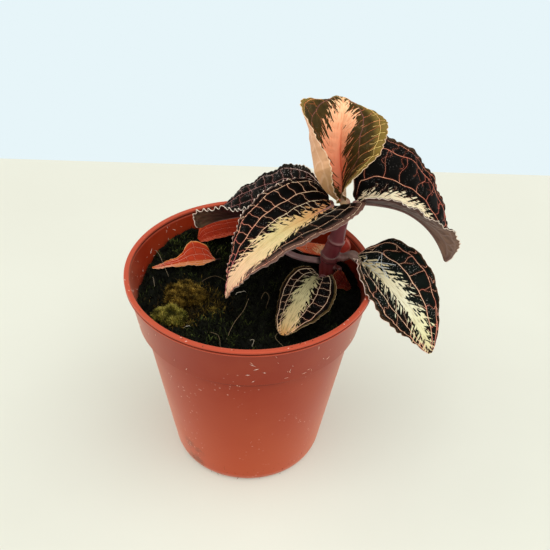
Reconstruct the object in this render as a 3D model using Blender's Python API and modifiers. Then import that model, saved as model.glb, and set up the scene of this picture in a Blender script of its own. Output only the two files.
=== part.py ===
# Young jewel orchid growing in a 9 cm nursery pot.
# The pot is a turned plastic cup, filled with growing mix under a moss carpet. The stem stands in
# a plain hole, and each leaf is one closed body: a petiole that runs on as a rib under a thin blade.
# Sizes are in millimetres and become metres when a mesh is made. +Z is up, the origin is the
# centre of the pot's base, and -Y is the side that the plant is looked at from.
import math

import bmesh
import bpy
import numpy as np

MM = 0.001
GAP = 0.3            # clearance between neighbouring pieces

# Pot: outer sizes, then the wall
POT_HEIGHT = 82.0
RIM_RADIUS = 45.0
RIM_DEPTH = 1.5      # height of the lip's outer band
RIM_WIDTH = 1.9
COLLAR_TOP_RADIUS = 44.2
COLLAR_FOOT_RADIUS = 39.9
COLLAR_FOOT_Z = 63.5
BODY_TOP_RADIUS = 39.3
BODY_FOOT_RADIUS = 28.7
FOOT_FILLET = 3.5
WALL = 1.0
FLOOR_TOP_Z = 3.4
RECESS_INNER = 12.0
RECESS_OUTER = 21.5
RECESS_DEPTH = 1.6
DRAIN_COUNT = 6
DRAIN_RADIUS = 2.8
DRAIN_CIRCLE = 16.8
POT_SIDES = 56

# Filling
SOIL_TOP_Z = 66.0
CARPET_MEAN_Z = 68.0
CARPET_RINGS = 11
CARPET_SIDES = 48
BEDDING_Z = 9.0          # below this height the mix is drawn in, clear of the floor's corner
BEDDING_INSET = 1.5
FILL_GAP = 0.4           # between the filling and the pot's wall, whose flats come a little closer

# Stem: centre line points with the stem's radius at each, from the root end to the top
STEM_POINTS = (
    (29.7, 9.8, 56.0, 2.3), (29.7, 9.8, 64.0, 2.6), (29.3, 9.8, 70.0, 2.9), (28.9, 9.8, 76.0, 3.15),
    (29.2, 9.8, 81.2, 3.1), (29.3, 9.8, 82.2, 3.5), (29.5, 9.8, 83.2, 3.15), (30.9, 9.8, 87.8, 3.1),
    (31.1, 9.8, 88.8, 3.4), (31.4, 9.8, 89.9, 2.55), (32.8, 9.9, 98.0, 2.25), (33.5, 10.0, 102.4, 2.1),
    (33.7, 10.0, 103.3, 2.4), (33.9, 10.0, 104.3, 1.9),
)
HOLE_CENTRE = (29.55, 9.8)
HOLE_RADIUS = 3.5        # plain hole that the root end stands in
HOLE_SIDES = 20
SEAT_GAP = 0.65          # from the stem's skin to the middle of a petiole's end

# Leaves. A blade follows a midrib that starts at base and runs for length. heading and pitch give
# the midrib's direction at equal stations from base to tip, and roll turns the blade about it, all
# in degrees. Each half has a greatest width, and fold and curl angles at base, middle and tip: the
# fold lifts the half from the midrib, and the curl bends it further towards its margin. fullness
# sets how soon the blade widens and how late it narrows, and sweep leans a half back round its base.
# node is the height and compass angle at which the petiole leaves the stem, None at the stem's top.
LEAVES = {
    "leaf_top": dict(
        node=None, base=(34.2, 10.0, 107.5), length=39.5,
        heading=(108, 111, 89, 82, 112), pitch=(55, 54, 51, 32, -4), roll=(-24, -17, 5),
        left=dict(width=28.5, fold=(9, 30, 20), curl=(148, 103, -52), sweep=24),
        right=dict(width=24.5, fold=(74, 42, -3), curl=(6, -20, -43), sweep=0),
        fullness=(0.37, 0.87), petiole=3.2, waves=5, wave=0.5, colour=(0.24, 0.17, 0.08)),
    "leaf_right_upper": dict(
        node=(101.0, 5), base=(38.6, 10.5, 104.5), length=45.0,
        heading=(9, 7, 0, -2, -6), pitch=(-2, -17, -36, -56, -71), roll=(12, 5, -6),
        left=dict(width=24.7, fold=(54, 36, 37), curl=(4, -24, -23), sweep=-4),
        right=dict(width=19.2, fold=(41, 36, 54), curl=(21, 6, 22), sweep=0),
        fullness=(0.2, 0.66), petiole=2.4, waves=6, wave=0.6, colour=(0.03, 0.02, 0.015)),
    "leaf_front_left": dict(
        node=(98.0, 225), base=(28.8, 8.2, 104.2), length=54.5,
        heading=(212, 217, 223, 207, 203), pitch=(-6, -6, -15, -44, -80), roll=(-31, 0, 13),
        left=dict(width=19.2, fold=(36, 26, 10), curl=(17, -5, -16), sweep=69),
        right=dict(width=17.2, fold=(18, 30, 9), curl=(-40, -31, -18), sweep=4),
        fullness=(0.28, 0.85), petiole=2.6, waves=6, wave=0.5, colour=(0.05, 0.03, 0.02)),
    "leaf_back_left": dict(
        node=(95.0, 135), base=(28.0, 14.8, 101.8), length=51.5,
        heading=(171, 171, 177, 175, 152), pitch=(-20, -15, -17, -18, -46), roll=(-9, 0, 9),
        left=dict(width=16.0, fold=(36, 38, 52), curl=(11, 0, 2), sweep=0),
        right=dict(width=21.0, fold=(45, 24, 17), curl=(1, -30, -32), sweep=4),
        fullness=(0.63, 0.62), petiole=2.6, waves=6, wave=0.6, colour=(0.04, 0.035, 0.025)),
    "leaf_right_lower": dict(
        node=(78.9, -10), base=(39.8, 8.7, 84.5), length=50.0,
        heading=(-75, -60, -50, -43, -48), pitch=(8, -1, -20, -41, -51), roll=(0, 6, 21),
        left=dict(width=16.8, fold=(35, 15, -1), curl=(7, -1, -20), sweep=0),
        right=dict(width=9.6, fold=(42, 6, -32), curl=(27, -7, -49), sweep=-5),
        fullness=(0.63, 0.87), petiole=3.6, waves=6, wave=0.5, colour=(0.03, 0.02, 0.015)),
    "leaf_lower_front": dict(
        node=(74.0, 235), base=(26.2, 5.0, 75.0), length=34.0,
        heading=(236, 246, 247, 243, 250), pitch=(30, 6, -8, -20, -30), roll=(-2, 5, 12),
        left=dict(width=11.4, fold=(29, 2, 7), curl=(23, -12, -6), sweep=-8),
        right=dict(width=9.6, fold=(32, -3, -2), curl=(25, -20, -21), sweep=3),
        fullness=(0.6, 0.72), petiole=2.2, waves=5, wave=0.4, colour=(0.06, 0.045, 0.03)),
    "leaf_red_wall": dict(
        node=(79.2, 175), base=(1.0, 35.2, 72.6), length=28.0,
        heading=(176, 186, 197, 208, 218), pitch=(0, 0, -2, -4, -6), roll=(0, 0, 0),
        left=dict(width=5.5, fold=(-8, -12, -10), curl=(0, -10, -10), sweep=0),
        right=dict(width=5.4, fold=(40, 52, 45), curl=(0, 10, 10), sweep=0),
        fullness=(0.45, 0.6), petiole=2.6, waves=3, wave=0.2, colour=(0.45, 0.06, 0.03)),
    "leaf_red_centre": dict(
        node=(75.6, 72), base=(30.2, 15.9, 76.3), length=8.6,
        heading=(84, 84, 85, 86, 86), pitch=(8, 2, -5, -10, -15), roll=(0, 0, 0),
        left=dict(width=11.0, fold=(10, 5, 0), curl=(10, 5, -10), sweep=0),
        right=dict(width=6.6, fold=(5, 5, 5), curl=(40, 150, 110), sweep=0),
        fullness=(0.8, 0.6), petiole=2.2, waves=3, wave=0.2, colour=(0.55, 0.12, 0.05)),
    "leaf_withered": dict(
        node=(75.0, -30), base=(34.6, 6.4, 74.4), length=5.5,
        heading=(-10, 0, 10, 15, 20), pitch=(-50, -58, -65, -62, -60), roll=(0, 10, 0),
        left=dict(width=4.6, fold=(-25, -20, -10), curl=(-30, -40, -20), sweep=0),
        right=dict(width=4.2, fold=(-20, -15, -10), curl=(-40, -50, -20), sweep=0),
        fullness=(0.5, 0.6), petiole=2.0, waves=2, wave=0.2, colour=(0.3, 0.03, 0.01)),
}
# The fallen red leaf lies loose on the moss: its short stalk starts at stub, and its height comes
# from the ground below it.
FALLEN_LEAF = dict(
    stub=(-11.8, 19.4, 72.4), base=(-13.6, 18.9, 72.4), length=24.5,
    heading=(192, 194, 196, 198, 196), pitch=(6, 2, -2, -4, 4), roll=(0, 0, 0),
    left=dict(width=4.2, fold=(-12, -25, -5), curl=(-30, -35, -10), sweep=0),
    right=dict(width=10.0, fold=(30, 44, 20), curl=(5, -5, -10), sweep=0),
    fullness=(0.45, 0.95), petiole=1.8, waves=3, wave=0.3, colour=(0.5, 0.08, 0.04))

BLADE_THICKNESS = 0.64
LARGE_BLADE_ROWS = 17
SMALL_BLADE_ROWS = 10
LARGE_HALF_COLUMNS = 4
SMALL_HALF_COLUMNS = 3
SMALL_LEAF = 30.0        # blades shorter than this get the coarser grid
BLADE_START = 0.015      # the blade's first and last rows, as shares of the midrib
BLADE_END = 0.992
TIP_HALF_WIDTH = 0.5
FLAT_WIDTH = 5.0         # a half narrower than this folds and curls less
SWEEP_END = 0.45         # share of the blade over which a swept half turns square to the midrib
RIB_END = 0.42           # the rib under the blade, drawn on from the petiole, ends here
RIB_END_RADIUS = 0.42
PETIOLE_POINTS = 8       # at most, and no closer than the step
PETIOLE_STEP = 1.4
PETIOLE_START = 0.8      # straight length at its foot, square to the stem
RIB_POINTS = 6
RIB_BELOW = 0.08         # how far the rib's top stays under the blade's upper face

REST_GAP = 0.45          # between the carpet and what lies on it
# Moss cushions: centre x, y, half length, half width, height, colour
CUSHIONS = {
    "moss_cushion_yellow": (-23.6, -0.5, 7.2, 6.6, 3.0, (0.3, 0.22, 0.04)),
    "moss_cushion_green": (-28.2, -11.8, 5.6, 4.4, 2.4, (0.25, 0.35, 0.05)),
}


def clear_scene():
    for item in list(bpy.data.objects):
        bpy.data.objects.remove(item, do_unlink=True)


def new_collection(name):
    group = bpy.data.collections.new(name)
    bpy.context.scene.collection.children.link(group)
    return group


def new_material(name, colour, roughness):
    material = bpy.data.materials.new(name)
    material.use_nodes = True
    shader = material.node_tree.nodes["Principled BSDF"]
    shader.inputs["Base Color"].default_value = (*colour, 1.0)
    shader.inputs["Roughness"].default_value = roughness
    shader.inputs["Metallic"].default_value = 0.0
    return material


def new_mesh_object(name, vertices, faces, group):
    """One object from vertices in millimetres and their faces."""
    mesh = bpy.data.meshes.new(name)
    mesh.from_pydata([tuple(float(c) * MM for c in v) for v in vertices], [], faces)
    mesh.validate()
    item = bpy.data.objects.new(name, mesh)
    group.objects.link(item)
    return item


def finish_piece(item, material, sharp_degrees=40.0):
    item.data.materials.append(material)
    item.data.shade_smooth()
    item.data.set_sharp_from_angle(angle=math.radians(sharp_degrees))


def turned_object(name, profile, sides, group):
    """A solid of revolution about Z, from (radius, z) points that run down its outer side."""
    edges = [(i, i + 1) for i in range(len(profile) - 1)]
    mesh = bpy.data.meshes.new(name)
    mesh.from_pydata([(r * MM, 0.0, z * MM) for r, z in profile], edges, [])
    item = bpy.data.objects.new(name, mesh)
    group.objects.link(item)
    screw = item.modifiers.new("Turn", "SCREW")
    screw.axis = "Z"
    screw.steps = sides
    screw.render_steps = sides
    screw.use_merge_vertices = True
    screw.merge_threshold = 0.00005
    screw.use_smooth_shade = False
    return item


def bake_modifiers(item):
    """Replace an object's mesh with its evaluated one."""
    graph = bpy.context.evaluated_depsgraph_get()
    baked = bpy.data.meshes.new_from_object(item.evaluated_get(graph))
    item.modifiers.clear()
    old = item.data
    item.data = baked
    baked.name = item.name
    bpy.data.meshes.remove(old)


def cut_with(item, cutters, name):
    hole = item.modifiers.new(name, "BOOLEAN")
    hole.operation = "DIFFERENCE"
    hole.operand_type = "COLLECTION"
    hole.collection = cutters


def wall_inner_radius(z):
    """Radius of the pot's inner wall at a height in the collar or the body."""
    if z >= COLLAR_FOOT_Z:
        rise = (z - COLLAR_FOOT_Z) / (POT_HEIGHT - RIM_DEPTH - COLLAR_FOOT_Z)
        return COLLAR_FOOT_RADIUS - WALL + rise * (COLLAR_TOP_RADIUS - COLLAR_FOOT_RADIUS)
    rise = (z - FOOT_FILLET) / (COLLAR_FOOT_Z - FOOT_FILLET)
    return BODY_FOOT_RADIUS - WALL + rise * (BODY_TOP_RADIUS - BODY_FOOT_RADIUS)


def foot_fillet_points():
    """Rounded corner from the body down to the flat foot."""
    centre_r, centre_z = BODY_FOOT_RADIUS - FOOT_FILLET, FOOT_FILLET
    angles = (math.radians(a) for a in (0, 30, 60, 90))
    return [(centre_r + FOOT_FILLET * math.cos(a), centre_z - FOOT_FILLET * math.sin(a)) for a in angles]


def make_pot(group, cutters):
    lip_edge = 0.4
    lip_inner = RIM_RADIUS - RIM_WIDTH
    lip_foot = POT_HEIGHT - RIM_DEPTH
    step = 0.6
    profile = [
        (0.0, FLOOR_TOP_Z), (BODY_FOOT_RADIUS - FOOT_FILLET, FLOOR_TOP_Z),
        (wall_inner_radius(FLOOR_TOP_Z + 2.0), FLOOR_TOP_Z + 2.0),
        (wall_inner_radius(COLLAR_FOOT_Z - step), COLLAR_FOOT_Z - step),
        (wall_inner_radius(COLLAR_FOOT_Z) + 0.1, COLLAR_FOOT_Z + step),
        (lip_inner, POT_HEIGHT - lip_edge), (lip_inner + lip_edge, POT_HEIGHT),
        (RIM_RADIUS - lip_edge, POT_HEIGHT), (RIM_RADIUS, POT_HEIGHT - lip_edge),
        (RIM_RADIUS, lip_foot + 0.2), (RIM_RADIUS - 0.2, lip_foot),
        (COLLAR_TOP_RADIUS, lip_foot), (COLLAR_FOOT_RADIUS, COLLAR_FOOT_Z),
        (BODY_TOP_RADIUS, COLLAR_FOOT_Z - step),
        *foot_fillet_points(),
        (RECESS_OUTER, 0.0), (RECESS_OUTER - 0.8, RECESS_DEPTH),
        (RECESS_INNER + 0.8, RECESS_DEPTH), (RECESS_INNER, 0.0), (0.0, 0.0),
    ]
    pot = turned_object("pot", profile, POT_SIDES, group)
    for i in range(DRAIN_COUNT):
        angle = math.tau * (i + 0.5) / DRAIN_COUNT
        place = (DRAIN_CIRCLE * MM * math.cos(angle), DRAIN_CIRCLE * MM * math.sin(angle), 2.5 * MM)
        new_cutter(f"drain_{i + 1}", place, DRAIN_RADIUS, 8.0, 12, cutters)
    cut_with(pot, cutters, "Drain holes")
    bake_modifiers(pot)
    finish_piece(pot, new_material("pot_plastic", (0.38, 0.08, 0.045), 0.45), 30.0)


def new_cutter(name, place, radius, depth, sides, group):
    mesh = bpy.data.meshes.new(name)
    shape = bmesh.new()
    bmesh.ops.create_cone(shape, cap_ends=True, segments=sides, radius1=radius * MM,
                          radius2=radius * MM, depth=depth * MM)
    shape.to_mesh(mesh)
    shape.free()
    item = bpy.data.objects.new(name, mesh)
    item.location = place
    item.hide_render = True
    item.display_type = "WIRE"
    group.objects.link(item)


def make_soil(group, cutters):
    """Growing mix: a turned plug that follows the inside of the pot, with a plain hole."""
    foot_z = FLOOR_TOP_Z + GAP
    heights = (SOIL_TOP_Z, COLLAR_FOOT_Z + 0.8, COLLAR_FOOT_Z - 0.9, BEDDING_Z)
    side = [(wall_inner_radius(z) - FILL_GAP, z) for z in heights]
    foot_radius = BODY_FOOT_RADIUS - FOOT_FILLET - BEDDING_INSET
    profile = [(0.0, SOIL_TOP_Z), *side, (foot_radius, foot_z), (0.0, foot_z)]
    soil = turned_object("soil", profile, POT_SIDES, group)
    cut_with(soil, cutters, "Stem hole")
    bake_modifiers(soil)
    finish_piece(soil, new_material("growing_mix", (0.03, 0.02, 0.012), 0.95))


def carpet_height(x, y):
    """Top of the moss carpet in millimetres: soft hummocks, higher at the back left."""
    hummocks = 0.55 * math.sin(0.21 * x + 0.6) * math.cos(0.19 * y - 0.4)
    hummocks += 0.35 * math.sin(0.33 * y + 0.17 * x + 1.3)
    bank = 1.3 * math.exp(-((x + 27.0) ** 2 + (y - 23.0) ** 2) / 110.0)
    mound = 0.8 * math.exp(-((x - 27.0) ** 2 + (y - 8.0) ** 2) / 90.0)
    return CARPET_MEAN_Z + hummocks + bank + mound


def make_moss_carpet(group, cutters):
    """A thin living layer on the mix, built as rings about the pot's axis."""
    outer = wall_inner_radius(SOIL_TOP_Z) - FILL_GAP
    foot = SOIL_TOP_Z + GAP
    vertices = [(0.0, 0.0, carpet_height(0.0, 0.0))]
    for ring in range(1, CARPET_RINGS + 1):
        radius = outer * ring / CARPET_RINGS
        for k in range(CARPET_SIDES):
            angle = math.tau * k / CARPET_SIDES
            x, y = radius * math.cos(angle), radius * math.sin(angle)
            vertices.append((x, y, carpet_height(x, y)))
    rim_start = 1 + (CARPET_RINGS - 1) * CARPET_SIDES
    foot_start = len(vertices)
    vertices += [(x, y, foot) for x, y, _ in vertices[rim_start:]]
    foot_centre = len(vertices)
    vertices.append((0.0, 0.0, foot))
    faces = []
    for k in range(CARPET_SIDES):
        after = (k + 1) % CARPET_SIDES
        faces.append((0, 1 + k, 1 + after))
        for ring in range(CARPET_RINGS - 1):
            near, far = 1 + ring * CARPET_SIDES, 1 + (ring + 1) * CARPET_SIDES
            faces.append((near + k, far + k, far + after))
            faces.append((near + k, far + after, near + after))
        faces.append((rim_start + k, foot_start + k, foot_start + after, rim_start + after))
        faces.append((foot_centre, foot_start + after, foot_start + k))
    carpet = new_mesh_object("moss_carpet", vertices, faces, group)
    cut_with(carpet, cutters, "Stem hole")
    bake_modifiers(carpet)
    finish_piece(carpet, new_material("moss_dark", (0.03, 0.045, 0.012), 0.9))


def make_cushion(name, sizes, group):
    """A moss cushion: the upper half of a sphere, drawn down onto the carpet."""
    centre_x, centre_y, half_length, half_width, height, colour = sizes
    mesh = bpy.data.meshes.new(name)
    shape = bmesh.new()
    bmesh.ops.create_uvsphere(shape, u_segments=18, v_segments=8, radius=1.0)
    for vertex in shape.verts:
        ux, uy, uz = vertex.co
        angle = math.atan2(uy, ux)
        lobe = 1.0 + 0.06 * math.sin(3.0 * angle + centre_x) + 0.04 * math.sin(5.0 * angle)
        x = centre_x + half_length * lobe * ux
        y = centre_y + half_width * lobe * uy
        ground = carpet_height(x, y) + REST_GAP
        rise = height * max(uz, 0.0) * (1.0 + 0.12 * math.sin(4.0 * ux + 2.0 * uy))
        vertex.co = (x * MM, y * MM, (ground + rise) * MM)
    shape.to_mesh(mesh)
    shape.free()
    item = bpy.data.objects.new(name, mesh)
    group.objects.link(item)
    finish_piece(item, new_material(name, colour, 0.9), 60.0)


def make_stem(group):
    """The stem is one tube whose radius follows its nodes and internodes."""
    curve = bpy.data.curves.new("stem", "CURVE")
    curve.dimensions = "3D"
    curve.bevel_depth = MM
    curve.bevel_resolution = 3
    curve.use_fill_caps = True
    line = curve.splines.new("POLY")
    line.points.add(len(STEM_POINTS) - 1)
    for point, (x, y, z, radius) in zip(line.points, STEM_POINTS):
        point.co = (x * MM, y * MM, z * MM, 1.0)
        point.radius = radius
    stem = bpy.data.objects.new("stem", curve)
    group.objects.link(stem)
    stem.data.materials.append(new_material("stem_skin", (0.16, 0.03, 0.035), 0.4))


def along(values, share):
    """Smooth value at a share of the way through equally spaced stations."""
    values = np.asarray(values, float)
    last = len(values) - 1
    place = np.clip(share, 0.0, 1.0) * last
    i = np.minimum(place.astype(int), last - 1)
    f = place - i
    before, start = values[np.maximum(i - 1, 0)], values[i]
    end, after = values[i + 1], values[np.minimum(i + 2, last)]
    return 0.5 * (2.0 * start + (end - before) * f
                  + (2.0 * before - 5.0 * start + 4.0 * end - after) * f ** 2
                  + (3.0 * start - before - 3.0 * end + after) * f ** 3)


def midrib_frame(leaf, share):
    """Points of the midrib, with its forward, left and upper-side directions."""
    fine = np.linspace(0.0, 1.0, 201)

    def forward_at(t):
        heading, pitch = np.radians(along(leaf["heading"], t)), np.radians(along(leaf["pitch"], t))
        flat = np.cos(pitch)
        return np.stack([flat * np.cos(heading), flat * np.sin(heading), np.sin(pitch)], -1)

    steps = forward_at(fine)
    steps = 0.5 * (steps[1:] + steps[:-1]) * leaf["length"] / (len(fine) - 1)
    path = np.array(leaf["base"]) + np.concatenate([np.zeros((1, 3)), np.cumsum(steps, axis=0)])
    points = np.stack([np.interp(share, fine, path[:, axis]) for axis in range(3)], -1)
    heading, roll = np.radians(along(leaf["heading"], share)), np.radians(along(leaf["roll"], share))
    forward = forward_at(share)
    level = np.stack([-np.sin(heading), np.cos(heading), 0.0 * heading], -1)
    upright = np.cross(forward, level)
    left = np.cos(roll)[:, None] * level + np.sin(roll)[:, None] * upright
    upper = np.cos(roll)[:, None] * upright - np.sin(roll)[:, None] * level
    return points, forward, left, upper


def blade_outline(leaf, share):
    """Half width at each share of the midrib, as a part of the greatest half width."""
    rise, fall = leaf["fullness"]
    peak = rise / (rise + fall)
    return (np.maximum(share, 0.0) ** rise * np.maximum(1.0 - share, 0.0) ** fall
            / (peak ** rise * (1.0 - peak) ** fall))


def half_blade(leaf, side, share, columns):
    """Points of one half, from the midrib out to its margin."""
    half = leaf[side]
    sign = 1.0 if side == "left" else -1.0
    points, forward, left, upper = midrib_frame(leaf, share)
    ease = np.clip(1.0 - share / SWEEP_END, 0.0, 1.0)
    sweep = np.radians(half["sweep"]) * ease ** 2 * (3.0 - 2.0 * ease)
    outward = sign * left * np.cos(sweep)[:, None] - forward * np.sin(sweep)[:, None]
    width = np.hypot(half["width"] * blade_outline(leaf, share), TIP_HALF_WIDTH)
    bend = np.clip(width / FLAT_WIDTH, 0.25, 1.0)[:, None]
    arc = np.linspace(0.0, 1.0, 4 * columns + 1)
    slope = (np.radians(along(half["fold"], share))[:, None]
             + np.radians(along(half["curl"], share))[:, None] * arc) * bend
    across = 0.5 * (np.cos(slope)[:, 1:] + np.cos(slope)[:, :-1]) / (4 * columns)
    rising = 0.5 * (np.sin(slope)[:, 1:] + np.sin(slope)[:, :-1]) / (4 * columns)
    across = np.cumsum(across, axis=1)[:, 3::4] * width[:, None]
    rising = np.cumsum(rising, axis=1)[:, 3::4] * width[:, None]
    outer = np.arange(1, columns + 1) / columns
    ripple = np.sin(math.tau * leaf["waves"] * share[:, None] + (0.0 if side == "left" else 1.5))
    calm = np.sin(math.pi * share)[:, None]
    rising = rising + leaf["wave"] * ripple * calm * outer ** 2
    return (points[:, None] + across[..., None] * outward[:, None]
            + rising[..., None] * upper[:, None])


def blade_surface(leaf, blade_rows, columns):
    """Rows of points across the blade, left margin first, from base to tip."""
    even = 0.5 * (1.0 - np.cos(np.linspace(0.0, math.pi, blade_rows + 1)))
    share = BLADE_START + (BLADE_END - BLADE_START) * even
    midrib = midrib_frame(leaf, share)[0]
    left = half_blade(leaf, "left", share, columns)
    right = half_blade(leaf, "right", share, columns)
    return np.concatenate([left[:, ::-1], midrib[:, None], right], axis=1)


def stem_at(z):
    """Centre of the stem and its radius at a height."""
    heights = [point[2] for point in STEM_POINTS]
    return [float(np.interp(z, heights, [point[axis] for point in STEM_POINTS])) for axis in (0, 1, 3)]


def petiole_seat(leaf):
    """Where the petiole starts, and the direction that it starts in."""
    if "stub" in leaf:
        run = np.array(leaf["base"]) - np.array(leaf["stub"])
        return np.array(leaf["stub"]), run / np.linalg.norm(run)
    if leaf["node"] is None:
        x, y, top, _ = STEM_POINTS[-1]
        return np.array([x, y, top + SEAT_GAP]), np.array([0.0, 0.0, 1.0])
    z, angle = leaf["node"]
    x, y, radius = stem_at(z)
    away = np.array([math.cos(math.radians(angle)), math.sin(math.radians(angle)), 0.0])
    return np.array([x, y, z]) + away * (radius + SEAT_GAP), away


def petiole_and_rib(leaf):
    """Centre line and radii of the petiole, and of the rib that it makes under the blade."""
    seat, away = petiole_seat(leaf)
    base = np.array(leaf["base"])
    forward = midrib_frame(leaf, np.array([0.0]))[1][0]
    start = seat + away * PETIOLE_START
    path = [(seat, 0.5 * leaf["petiole"])]
    reach = np.linalg.norm(base - start)
    handles = (start, start + away * reach * 0.5, base - forward * reach * 0.3, base)
    steps = int(np.clip(reach / PETIOLE_STEP, 1, PETIOLE_POINTS))
    for step in range(steps):
        t = step / steps
        weights = ((1 - t) ** 3, 3 * t * (1 - t) ** 2, 3 * t ** 2 * (1 - t), t ** 3)
        path.append((sum(w * h for w, h in zip(weights, handles)), 0.5 * leaf["petiole"] * (1 - 0.2 * t)))
    share = np.linspace(BLADE_START, RIB_END, RIB_POINTS)
    points, _, _, upper = midrib_frame(leaf, share)
    for i, (point, up) in enumerate(zip(points, upper)):
        fade = i / (RIB_POINTS - 1)
        radius = 0.4 * leaf["petiole"] * (1.0 - fade) + RIB_END_RADIUS * fade
        drop = (radius - 0.5 * BLADE_THICKNESS + RIB_BELOW) * min(1.0, 2.0 * fade)
        path.append((point - up * drop, radius))
    return path


def tube_mesh_object(name, path, group):
    """A closed tube with welded caps, as a mesh, from points and radii in millimetres."""
    curve = bpy.data.curves.new(name, "CURVE")
    curve.dimensions = "3D"
    curve.bevel_depth = MM
    curve.bevel_resolution = 2
    curve.use_fill_caps = True
    line = curve.splines.new("POLY")
    line.points.add(len(path) - 1)
    for place, (point, radius) in zip(line.points, path):
        place.co = (*(float(c) * MM for c in point), 1.0)
        place.radius = radius
    guide = bpy.data.objects.new(name, curve)
    group.objects.link(guide)
    graph = bpy.context.evaluated_depsgraph_get()
    mesh = bpy.data.meshes.new_from_object(guide.evaluated_get(graph))
    shape = bmesh.new()
    shape.from_mesh(mesh)
    bmesh.ops.remove_doubles(shape, verts=shape.verts, dist=0.00001)
    shape.to_mesh(mesh)
    shape.free()
    item = bpy.data.objects.new(name, mesh)
    item.matrix_world = guide.matrix_world
    group.objects.link(item)
    bpy.data.objects.remove(guide, do_unlink=True)
    return item


def blade_object(name, leaf, group):
    """The closed blade: its surface moved half its thickness to either side."""
    small = leaf["length"] < SMALL_LEAF
    columns = SMALL_HALF_COLUMNS if small else LARGE_HALF_COLUMNS
    middle = blade_surface(leaf, SMALL_BLADE_ROWS if small else LARGE_BLADE_ROWS, columns)
    rows, wide = middle.shape[:2]
    normal = np.cross(np.gradient(middle, axis=1), np.gradient(middle, axis=0))
    normal = normal / np.maximum(np.linalg.norm(normal, axis=2, keepdims=True), 1e-9)
    upper = middle + normal * BLADE_THICKNESS * 0.5
    lower = middle - normal * BLADE_THICKNESS * 0.5
    vertices = np.concatenate([upper.reshape(-1, 3), lower.reshape(-1, 3)])
    under = rows * wide
    faces = []
    for r in range(rows - 1):
        for c in range(wide - 1):
            a, b = r * wide + c, r * wide + c + 1
            d, e = a + wide, b + wide
            # both faces of the blade share one diagonal, which leans away from the midrib
            halves = ((a, d, b), (b, d, e)) if c < columns else ((a, e, b), (a, d, e))
            for one, two, three in halves:
                faces.append((one, three, two))
                faces.append((one + under, two + under, three + under))
    edge = [(r * wide, (r + 1) * wide) for r in range(rows - 1)]
    edge += [((r + 1) * wide + wide - 1, r * wide + wide - 1) for r in range(rows - 1)]
    edge += [(c + 1, c) for c in range(wide - 1)]
    edge += [((rows - 1) * wide + c, (rows - 1) * wide + c + 1) for c in range(wide - 1)]
    for a, b in edge:
        faces.append((a, b, b + under))
        faces.append((a, b + under, a + under))
    blade = new_mesh_object(name, vertices, faces, group)
    shape = bmesh.new()
    shape.from_mesh(blade.data)
    bmesh.ops.recalc_face_normals(shape, faces=shape.faces)
    shape.to_mesh(blade.data)
    shape.free()
    return blade


def make_leaf(name, leaf, group):
    """A blade joined with its petiole and rib."""
    blade = blade_object(name, leaf, group)
    stalk = tube_mesh_object(name + "_stalk", petiole_and_rib(leaf), group)
    join = blade.modifiers.new("Petiole", "BOOLEAN")
    join.operation = "UNION"
    join.object = stalk
    bake_modifiers(blade)
    bpy.data.objects.remove(stalk, do_unlink=True)
    finish_piece(blade, new_material(name, leaf["colour"], 0.5), 60.0)
    return blade


def rest_on_moss(item):
    """Lower or lift a loose piece until it lies just clear of the carpet."""
    clearance = min(v.co.z / MM - carpet_height(v.co.x / MM, v.co.y / MM) for v in item.data.vertices)
    shift = (REST_GAP - clearance) * MM
    for vertex in item.data.vertices:
        vertex.co.z += shift


def main():
    clear_scene()
    orchid = new_collection("potted_jewel_orchid")
    drains = new_collection("drain_cutters")
    holes = new_collection("hole_cutters")
    x, y = HOLE_CENTRE
    root_z = STEM_POINTS[0][2]
    top_z = CARPET_MEAN_Z + 8.0       # well clear of the carpet's mound
    bottom_z = root_z - GAP
    new_cutter("stem_hole", (x * MM, y * MM, 0.5 * (top_z + bottom_z) * MM), HOLE_RADIUS,
               top_z - bottom_z, HOLE_SIDES, holes)
    make_pot(orchid, drains)
    make_soil(orchid, holes)
    make_moss_carpet(orchid, holes)
    for name, sizes in CUSHIONS.items():
        make_cushion(name, sizes, orchid)
    make_stem(orchid)
    for name, leaf in LEAVES.items():
        make_leaf(name, leaf, orchid)
    rest_on_moss(make_leaf("leaf_red_fallen", FALLEN_LEAF, orchid))


main()
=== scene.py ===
# Young jewel orchid in a 9 cm nursery pot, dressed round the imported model.
# Lengths are in millimetres until a mesh is made, and colours are sRGB hex.
import math

import bmesh
import bpy
import numpy as np
from mathutils import Matrix, Vector
from mathutils.kdtree import KDTree


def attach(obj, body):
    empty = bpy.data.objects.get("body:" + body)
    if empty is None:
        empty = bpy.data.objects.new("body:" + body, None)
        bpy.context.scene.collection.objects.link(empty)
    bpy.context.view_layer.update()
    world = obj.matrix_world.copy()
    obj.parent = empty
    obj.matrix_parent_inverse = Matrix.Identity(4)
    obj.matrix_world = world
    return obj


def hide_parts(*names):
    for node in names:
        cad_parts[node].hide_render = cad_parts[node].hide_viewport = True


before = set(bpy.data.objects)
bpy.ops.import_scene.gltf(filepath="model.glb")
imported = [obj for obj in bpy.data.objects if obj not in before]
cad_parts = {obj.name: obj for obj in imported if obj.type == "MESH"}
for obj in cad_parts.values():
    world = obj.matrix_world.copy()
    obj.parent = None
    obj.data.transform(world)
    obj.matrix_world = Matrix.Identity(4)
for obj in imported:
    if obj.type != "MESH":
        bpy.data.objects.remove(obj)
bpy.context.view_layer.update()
mm = 0.001


def hexColour(text):  # sRGB hex to the linear colour that the shaders want
    parts = [int(text[i:i + 2], 16) / 255 for i in (1, 3, 5)]
    return (*[c / 12.92 if c <= 0.04045 else ((c + 0.055) / 1.055) ** 2.4 for c in parts], 1.0)


def setRamp(marks, stops):  # stops are (place, hex colour)
    while len(marks) < len(stops):
        marks.new(0.5)
    for mark, (place, colour) in zip(marks, stops):
        mark.position = place
        mark.color = hexColour(colour)


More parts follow.
